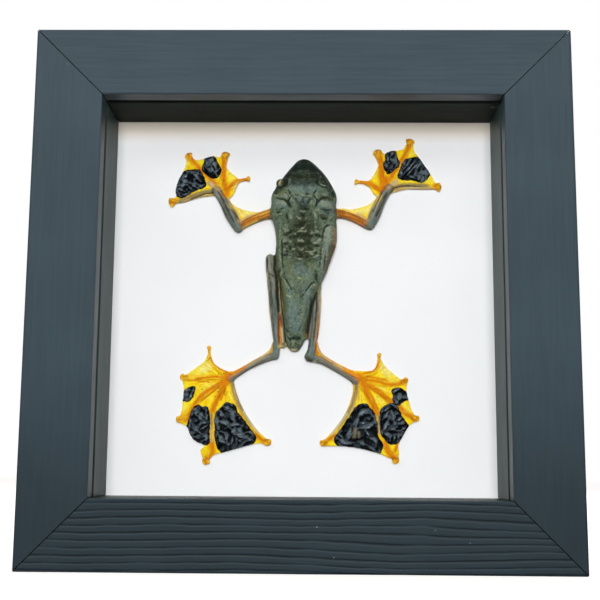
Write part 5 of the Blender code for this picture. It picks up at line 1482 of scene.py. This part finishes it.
def blend(tree, mask, under, over, mode="MIX"):
    """The colour under with the colour over laid on it where the mask is 1."""
    mix = add(tree, "ShaderNodeMix", {"data_type": "RGBA", "blend_type": mode})
    for index, value in ((0, mask), (6, under), (7, over)):
        feed(tree, mix.inputs[index], value)
    return mix.outputs[2]


def between(tree, mask, under, over):
    """The value under, with the value over where the mask is 1."""
    mix = add(tree, "ShaderNodeMix")
    for index, value in ((0, mask), (2, under), (3, over)):
        feed(tree, mix.inputs[index], value)
    return mix.outputs[0]


def calc(tree, operation, first, second):
    """One step of arithmetic on two values."""
    return fed(tree, add(tree, "ShaderNodeMath", {"operation": operation}), (first, second))


def times(tree, first, second):
    """The product of two values."""
    return calc(tree, "MULTIPLY", first, second)


def spread(tree, value, low, high, to_low=0.0, to_high=1.0):
    """The value, eased from one range to another and kept within it."""
    made = add(tree, "ShaderNodeMapRange", {"interpolation_type": "SMOOTHSTEP"})
    return fed(tree, made, (value, low, high, to_low, to_high))


def mottle(tree, vector, scale, detail=3.0, roughness=0.55, distortion=0.0):
    """Soft noise from 0 to 1."""
    made = add(
        tree, "ShaderNodeTexNoise", Vector=vector, Scale=scale, Detail=detail,
        Roughness=roughness, Distortion=distortion,
    )
    return made.outputs["Fac"]


def stretched(tree, vector, scale):
    """The vector with its own scale along each axis."""
    return add(tree, "ShaderNodeMapping", Vector=vector, Scale=scale).outputs["Vector"]


def part_of(tree, vector, axis):
    """The vector's share along one axis."""
    return add(tree, "ShaderNodeSeparateXYZ", Vector=vector).outputs[axis]


def read(tree, name, output="Fac"):
    """What the mesh keeps for each of its points under this name."""
    return add(tree, "ShaderNodeAttribute", {"attribute_name": name}).outputs[output]


def bump(tree, height, strength, distance):
    """Relief too fine for the mesh."""
    made = add(tree, "ShaderNodeBump", Height=height, Strength=strength, Distance=distance)
    return made.outputs["Normal"]


def new_material(name):
    """An empty material with its output, and the place of a mesh's points in metres."""
    material = bpy.data.materials.new(name)
    material.use_nodes = True
    tree = material.node_tree
    tree.nodes.clear()
    surface = add(tree, "ShaderNodeOutputMaterial").inputs["Surface"]
    place = add(tree, "ShaderNodeTexCoord").outputs["Object"]
    return material, tree, surface, place


def coat(tree, surface, **inputs):
    """Ends a material with one principled shader."""
    feed(tree, surface, add(tree, "ShaderNodeBsdfPrincipled", **inputs).outputs[0])


def new_group(name, inputs, outputs):
    """A shader node group with named inputs and outputs."""
    group = bpy.data.node_groups.new(name, "ShaderNodeTree")
    for way, sockets in (("INPUT", inputs), ("OUTPUT", outputs)):
        for label, kind in sockets:
            group.interface.new_socket(label, in_out=way, socket_type="NodeSocket" + kind)
    return group, add(group, "NodeGroupInput").outputs, add(group, "NodeGroupOutput").inputs


def dust_group():
    """Scattered pale specks of dust: a mask."""
    group, given, out = new_group(
        "dust",
        (("Place", "Vector"), ("Spacing", "Float"), ("Amount", "Float")),
        (("Mask", "Float"),),
    )
    cells = add(
        group, "ShaderNodeTexVoronoi", {"feature": "F1"}, Vector=given["Place"], Scale=given["Spacing"]
    ).outputs
    lone = add(group, "ShaderNodeSeparateColor", Color=cells["Color"]).outputs["Red"]
    near = spread(group, cells["Distance"], 0.02, 0.05, 1.0, 0.0)
    few = calc(group, "LESS_THAN", lone, given["Amount"])
    feed(group, out["Mask"], times(group, near, few))
    return group


def grain_group():
    """Fine streaks of brushed paint over wood grain: a mask, and a height to bump with."""
    group, given, out = new_group(
        "brushed grain",
        (("Run", "Vector"), ("Fineness", "Float")),
        (("Streaks", "Float"), ("Height", "Float")),
    )
    streaks = mottle(group, given["Run"], given["Fineness"], detail=4.0, roughness=0.6)
    finer = times(group, given["Fineness"], 2.7)
    pores = mottle(group, given["Run"], finer, detail=2.0, roughness=0.7)
    height = calc(group, "ADD", times(group, streaks, 0.6), times(group, pores, 0.4))
    feed(group, out["Streaks"], streaks)
    feed(group, out["Height"], height)
    return group


def use(tree, group, **inputs):
    """Places a node group in a tree, with its own values."""
    return add(tree, "ShaderNodeGroup", {"node_tree": group}, **inputs).outputs


def painted_wood(name, run, colour, groups, gloss=0.42, dulling=0.45, foot=1.0):
    """Dark satin paint brushed along the wood, with painted highlights and shade on its grooves; foot is
    the share of its tone kept low down, a painted shade.
    """
    material, tree, surface, place = new_material(name)
    grain = use(tree, groups["grain"], Run=stretched(tree, place, run), Fineness=1.0)
    cloud = mottle(tree, place, scale=38.0, detail=2.0)
    dark, light, faded_and_lit = ([share * part for part in colour] for share in (0.92, 1.06, 1.35))
    tone = blend(tree, spread(tree, grain["Streaks"], 0.3, 0.7), dark, light)
    tone = blend(tree, spread(tree, cloud, 0.35, 0.75, 0.0, 0.30), tone, faded_and_lit)
    # Painted shade: the tone darkens toward the foot, down to the share foot of itself
    low = spread(tree, part_of(tree, place, "Z"), *FOOT, 1.0 - foot, 0.0)
    tone = blend(tree, low, tone, (0.0, 0.0, 0.0))
    # Painted highlight along the lit edge of each groove, then painted shade inside it
    groove = read(tree, "groove")
    lit_edge = times(tree, spread(tree, groove, *LIT_FROM), spread(tree, groove, *LIT_TO))
    tone = blend(tree, times(tree, lit_edge, 0.75), tone, faded_and_lit)
    tone = blend(tree, spread(tree, groove, *SHADED, 0.0, 0.60), tone, GROOVE_SHADE)
    dust = use(tree, groups["dust"], Place=place, Spacing=170.0, Amount=0.05)["Mask"]
    tone = blend(tree, times(tree, dust, 0.55), tone, PAINT_DUST)
    satin = spread(tree, grain["Height"], 0.3, 0.7, dulling + 0.05, dulling - 0.05)
    relief = bump(tree, grain["Height"], strength=0.35, distance=0.00012)
    coat(tree, surface, Base_Color=tone, Roughness=satin, Normal=relief, Specular_IOR_Level=gloss)
    return material


def clear_glass():
    """Clear picture glass that lets the lamps through."""
    material, tree, surface, _ = new_material("clear_glass")
    glass = add(
        tree, "ShaderNodeBsdfPrincipled", Base_Color=(1.0, 1.0, 1.0), Roughness=0.0, IOR=1.45,
        Transmission_Weight=1.0,
    )
    through = add(tree, "ShaderNodeBsdfTransparent")
    path = add(tree, "ShaderNodeLightPath").outputs
    shown = glass.outputs[0]
    for way in ("Is Diffuse Ray", "Is Shadow Ray"):
        shown = fed(tree, add(tree, "ShaderNodeMixShader"), (path[way], shown, through.outputs[0]))
    feed(tree, surface, shown)
    return material


def white_card(groups):
    """Matt white card with a faint tooth, a few motes of dust and a shade under the upper spacer."""
    material, tree, surface, place = new_material("white_card")
    tooth = mottle(tree, place, scale=2600.0, roughness=0.7)
    cloud = spread(tree, mottle(tree, place, scale=22.0, detail=2.0), 0.3, 0.7)
    tone = blend(tree, cloud, (0.875, 0.880, 0.895), (0.900, 0.903, 0.912))
    shade = spread(tree, part_of(tree, place, "Z"), *CARD_SHADE_HEIGHTS, 0.0, 0.9)
    tone = blend(tree, shade, tone, CARD_SHADE, "MULTIPLY")
    dust = use(tree, groups["dust"], Place=place, Spacing=60.0, Amount=0.10)["Mask"]
    tone = blend(tree, times(tree, dust, 0.10), tone, CARD_DUST)
    matt = spread(tree, tooth, 0.3, 0.7, 0.86, 0.94)
    relief = bump(tree, tooth, strength=0.02, distance=0.00004)
    coat(tree, surface, Base_Color=tone, Roughness=matt, Normal=relief, Specular_IOR_Level=0.25)
    return material


def fibreboard():
    """Bare brown hardboard, pressed of fine fibres."""
    material, tree, surface, place = new_material("fibreboard")
    run = stretched(tree, place, (900.0, 900.0, 520.0))
    fibres = mottle(tree, run, scale=1.0, detail=5.0, roughness=0.7, distortion=1.2)
    cloud = mottle(tree, place, scale=30.0)
    tone = blend(tree, spread(tree, fibres, 0.3, 0.7), (0.13, 0.072, 0.036), (0.31, 0.195, 0.105))
    tone = blend(tree, spread(tree, cloud, 0.4, 0.8, 0.0, 0.4), tone, (0.20, 0.115, 0.06))
    matt = spread(tree, fibres, 0.3, 0.7, 0.72, 0.88)
    relief = bump(tree, fibres, strength=0.4, distance=0.0001)
    coat(tree, surface, Base_Color=tone, Roughness=matt, Normal=relief)
    return material


def zinc_steel():
    """Bright zinc plated steel, with a faint rolled streak and dull blotches."""
    material, tree, surface, place = new_material("zinc_steel")
    run = stretched(tree, place, (300.0, 300.0, 2600.0))
    rolled = mottle(tree, run, scale=1.0, roughness=0.6)
    blotch = mottle(tree, place, scale=260.0)
    tone = blend(tree, spread(tree, blotch, 0.35, 0.7), (0.60, 0.60, 0.58), (0.43, 0.44, 0.44))
    dull = spread(tree, blotch, 0.3, 0.7, 0.26, 0.42)
    relief = bump(tree, rolled, strength=0.2, distance=0.00004)
    coat(tree, surface, Base_Color=tone, Metallic=1.0, Roughness=dull, Normal=relief)
    return material


def frog_skin():
    """Dried skin: grey-green back, streaked limbs, amber webs and glossy black patches, with painted
    shade in creases, painted highlights on ridges and a painted sheen on the patches.
    """
    material, tree, surface, place = new_material("frog_skin")
    kept = ("body", "limb", "fold", "hollow", "bone", "tip", "patch", "gleam", "facet", *TINTS)
    value = {name: read(tree, name) for name in kept}
    run = read(tree, "run", "Vector")
    value["grainy"] = mottle(tree, place, scale=900.0, detail=4.0, roughness=0.65)
    value["cloudy"] = mottle(tree, place, scale=260.0, roughness=0.6)
    value["tinge"] = mottle(tree, place, scale=430.0, detail=2.0, roughness=0.5)
    drawn = stretched(tree, run, (0.9, 0.22, 1.0))
    value["streaks"] = mottle(tree, drawn, scale=1.0, detail=4.0, roughness=0.65)

    def over(name, *reach):
        """A value, eased over its reach."""
        return spread(tree, value[name], *reach)

    def layered(skin, layers):
        """The skin with the rows of a table of layers laid over it."""
        for name, *share, colour in layers:
            if not share:
                mask = value[name]
            elif len(share) == 1:
                mask = times(tree, value[name], share[0])
            else:
                mask = over(name, *share)
            skin = blend(tree, mask, skin, colour)
        return skin

    back = blend(tree, over("cloudy", 0.3, 0.7), (0.106, 0.152, 0.096), (0.190, 0.258, 0.172))
    back = layered(back, BACK_LAYERS)
    back = blend(tree, value["dusk"], back, (0.48, 0.51, 0.50), "MULTIPLY")
    cells = add(
        tree, "ShaderNodeTexVoronoi", {"feature": "DISTANCE_TO_EDGE"}, Vector=place, Scale=760.0
    )
    cracks = spread(tree, cells.outputs["Distance"], 0.02, 0.16, 1.0, 0.0)
    back = blend(tree, times(tree, cracks, 0.25), back, (0.020, 0.025, 0.014))

    leg = blend(tree, over("streaks", 0.36, 0.62), (0.042, 0.042, 0.028), (0.250, 0.252, 0.195))
    leg = layered(leg, LEG_LAYERS)
    skin = blend(tree, value["body"], leg, back)

    long_drawn = stretched(tree, run, (1.7, 0.12, 1.0))
    rays = mottle(tree, long_drawn, scale=1.0, detail=2.0, roughness=0.5)
    near_root = spread(tree, part_of(tree, run, "Y"), 17.0, 4.0, 0.0, 0.75)
    value["rays"] = times(tree, spread(tree, rays, 0.56, 0.64), near_root)
    film = blend(tree, over("cloudy", 0.3, 0.7), (0.96, 0.64, 0.008), (0.98, 0.79, 0.022))
    film = layered(film, WEB_LAYERS)
    bead = blend(tree, over("grainy", 0.42, 0.58), (0.40, 0.080, 0.003), (0.94, 0.50, 0.026))
    film = layered(film, (("tip", 1.0, 2.9, 0.80, 0.0, bead), *WEB_RELIEF_LAYERS))
    bare = calc(tree, "SUBTRACT", 1.0, value["body"])
    web = times(tree, bare, calc(tree, "SUBTRACT", 1.0, value["limb"]))
    skin = blend(tree, web, skin, film)

    value["limb ember"] = times(tree, value["ember"], times(tree, value["limb"], 0.85))
    value["limb gold"] = times(tree, value["gold"], times(tree, value["limb"], 0.8))
    skin = blend(tree, bare, skin, layered(skin, LIMB_LAYERS))
    skin = layered(skin, TOP_LAYERS)
    grime = over("grainy", 0.35, 0.75, 0.0, 0.22)
    skin = blend(tree, grime, skin, (0.02, 0.02, 0.015), "MULTIPLY")

    # Painted sheen where the black patches face the light, and painted highlights on the lit faces of
    # their folds
    value["sheen"] = times(tree, over("gleam", 0.74, 0.98), over("streaks", 0.35, 0.62, 0.3, 1.0))
    shine = times(tree, over("facet", 0.08, 0.62), over("streaks", 0.36, 0.56, 0.22, 1.0))
    value["shine"] = times(tree, shine, over("cloudy", 0.34, 0.56, 0.55, 1.0))
    value["glint"] = times(tree, over("facet", 0.55, 0.85), over("streaks", 0.52, 0.62))
    black = layered((0.002, 0.003, 0.004), PATCH_LAYERS)
    patched = times(tree, over("patch", -0.06, 0.08), web)
    skin = blend(tree, patched, skin, black)

    dull = over("cloudy", 0.3, 0.7, 0.48, 0.62)
    dull = between(tree, patched, dull, over("cloudy", 0.3, 0.7, 0.20, 0.30))
    pebbled = calc(tree, "ADD", value["grainy"], value["streaks"])
    relief = between(tree, patched, pebbled, times(tree, value["grainy"], 0.8))
    coat(
        tree, surface, Base_Color=skin, Roughness=dull, Coat_Weight=patched, Coat_Roughness=0.16,
        Normal=bump(tree, relief, strength=0.30, distance=0.00012), Specular_IOR_Level=0.12,
    )
    return material


def wear(thing, material):
    """Gives a piece its one material."""
    thing.data.materials.clear()
    thing.data.materials.append(material)


def plain_floor():
    """A plain white table top, bright enough to melt into the white behind it."""
    corners = ((-2.0, -1.2, 0.0), (2.0, -1.2, 0.0), (2.0, 2.4, 0.0), (-2.0, 2.4, 0.0))
    floor = put_up("floor", new_mesh("floor", corners, [(0, 1, 2, 3)]))
    floor.visible_diffuse = False
    floor.visible_glossy = False
    floor.visible_shadow = False
    floor.visible_transmission = False
    material, tree, surface, place = new_material("white_table")
    shade = mottle(tree, place, scale=3.0, detail=2.0)
    tone = blend(tree, shade, (0.64, 0.63, 0.62), (0.67, 0.66, 0.65))
    coat(
        tree, surface, Base_Color=tone, Roughness=0.95, Specular_IOR_Level=0.1,
        Emission_Color=(1.0, 0.985, 0.965), Emission_Strength=0.72,
    )
    wear(floor, material)


def soft_lamp(name, place, size, watts, colour=(1.0, 1.0, 1.0), seen_in_gloss=True):
    """A large soft lamp of this width and height, aimed at the middle of the frame."""
    data = bpy.data.lights.new(name, "AREA")
    data.shape = "RECTANGLE"
    data.size, data.size_y = size
    data.energy = watts
    data.color = colour
    lamp = put_up(name, data)
    lamp.location = place
    lamp.rotation_euler = (LAMP_AIM - Vector(place)).to_track_quat("-Z", "Y").to_euler()
    lamp.visible_glossy = seen_in_gloss
    lamp.visible_transmission = False


def light_scene():
    """A pale room, dark where the photographer stands, and soft lamps before and behind."""
    world = bpy.data.worlds.new("pale_room")
    bpy.context.scene.world = world
    world.use_nodes = True
    tree = world.node_tree
    tree.nodes.clear()
    way = add(tree, "ShaderNodeTexCoord").outputs["Generated"]
    height = part_of(tree, way, "Z")
    toward = add(tree, "ShaderNodeVectorMath", {"operation": "DOT_PRODUCT"})
    front = fed(tree, toward, (way, PHOTOGRAPHER_WAY), "Value")
    level = spread(tree, height, -0.1, 0.8, 0.05, 0.50)
    level = times(tree, level, spread(tree, front, 0.55, 0.90, 1.0, 0.03))
    path = add(tree, "ShaderNodeLightPath").outputs
    level = between(tree, path["Is Camera Ray"], level, 1.0)
    backdrop = add(tree, "ShaderNodeBackground", Color=(1.0, 1.0, 1.0), Strength=level)
    feed(tree, add(tree, "ShaderNodeOutputWorld").inputs["Surface"], backdrop.outputs[0])
    cool = (0.90, 0.98, 1.0)
    soft_lamp("lamp_above", place=(-0.12, -0.98, 0.68), size=(1.5, 0.30), watts=2.8, colour=cool)
    soft_lamp(
        "lamp_front", place=(0.0, -1.20, 0.18), size=(0.40, 0.34), watts=13.6, seen_in_gloss=False
    )
    soft_lamp("lamp_behind", place=(0.35, 1.10, 0.60), size=(0.80, 0.50), watts=9.0)


def place_camera():
    """The camera where the photographer held it: low in front, looking slightly up."""
    data = bpy.data.cameras.new("camera")
    data.sensor_width = SENSOR
    data.lens = CAMERA_FOCUS_PX * SENSOR / PHOTO_WIDTH_PX
    data.clip_start = 0.01
    camera = put_up("camera", data)
    pitch, yaw, roll = CAMERA_TURN
    turn = Matrix.Rotation(math.radians(90), 4, "X") @ Matrix.Rotation(roll, 4, "Z")
    turn = turn @ Matrix.Rotation(yaw, 4, "Y") @ Matrix.Rotation(pitch, 4, "X")
    camera.matrix_world = Matrix.Translation(CAMERA_PLACE) @ turn
    bpy.context.scene.camera = camera


def dress():
    """All the looks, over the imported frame."""
    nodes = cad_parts
    groups = {"dust": dust_group(), "grain": grain_group()}
    # Painted shade: the uprights and their spacers darken toward their foot
    upright = painted_wood("slate_paint_upright", BRUSHED_UPRIGHT, SLATE, groups, foot=0.60)
    paint = {
        # The bottom rail wears the slate darker, a painted shade
        "bottom": painted_wood("slate_paint_bottom", BRUSHED_LEVEL, SHADED_SLATE, groups),
        "top": painted_wood("slate_paint_top", BRUSHED_LEVEL, SLATE, groups),
        "left": upright,
        "right": upright,
    }
    spacer_upright = painted_wood(
        "spacer_paint_upright", BRUSHED_UPRIGHT, SPACER_SLATE, groups, gloss=0.045, dulling=0.36,
        foot=0.5,
    )
    # The bottom and top spacers wear darker, duller copies of the spacers' paint, a painted shade
    spacer_paint = {
        "bottom": painted_wood(
            "spacer_paint_bottom", BRUSHED_SPACER, SPACER_BOTTOM, groups, gloss=0.04, dulling=0.40
        ),
        "top": painted_wood(
            "spacer_paint_top", BRUSHED_SPACER, SPACER_TOP, groups, gloss=0.03, dulling=0.55
        ),
        "left": spacer_upright,
        "right": spacer_upright,
    }
    for side in SIDES:
        rail = build_rail(side)
        wear(rail, paint[side])
        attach(rail, "root")
        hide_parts("frame_rail_" + side)
        wear(nodes["spacer_" + side], spacer_paint[side])
    wear(nodes["glass_pane"], clear_glass())
    wear(nodes["mount_board"], white_card(groups))
    wear(nodes["backing_board"], fibreboard())
    steel = zinc_steel()
    for name, node in nodes.items():
        if name.startswith(("retaining_tab", "hanger_")):
            wear(node, steel)
    frog = build_frog()
    wear(frog, frog_skin())
    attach(frog, "root")
    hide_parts("tree_frog")


bpy.context.scene.view_settings.view_transform = "Standard"
dress()
plain_floor()
light_scene()
place_camera()
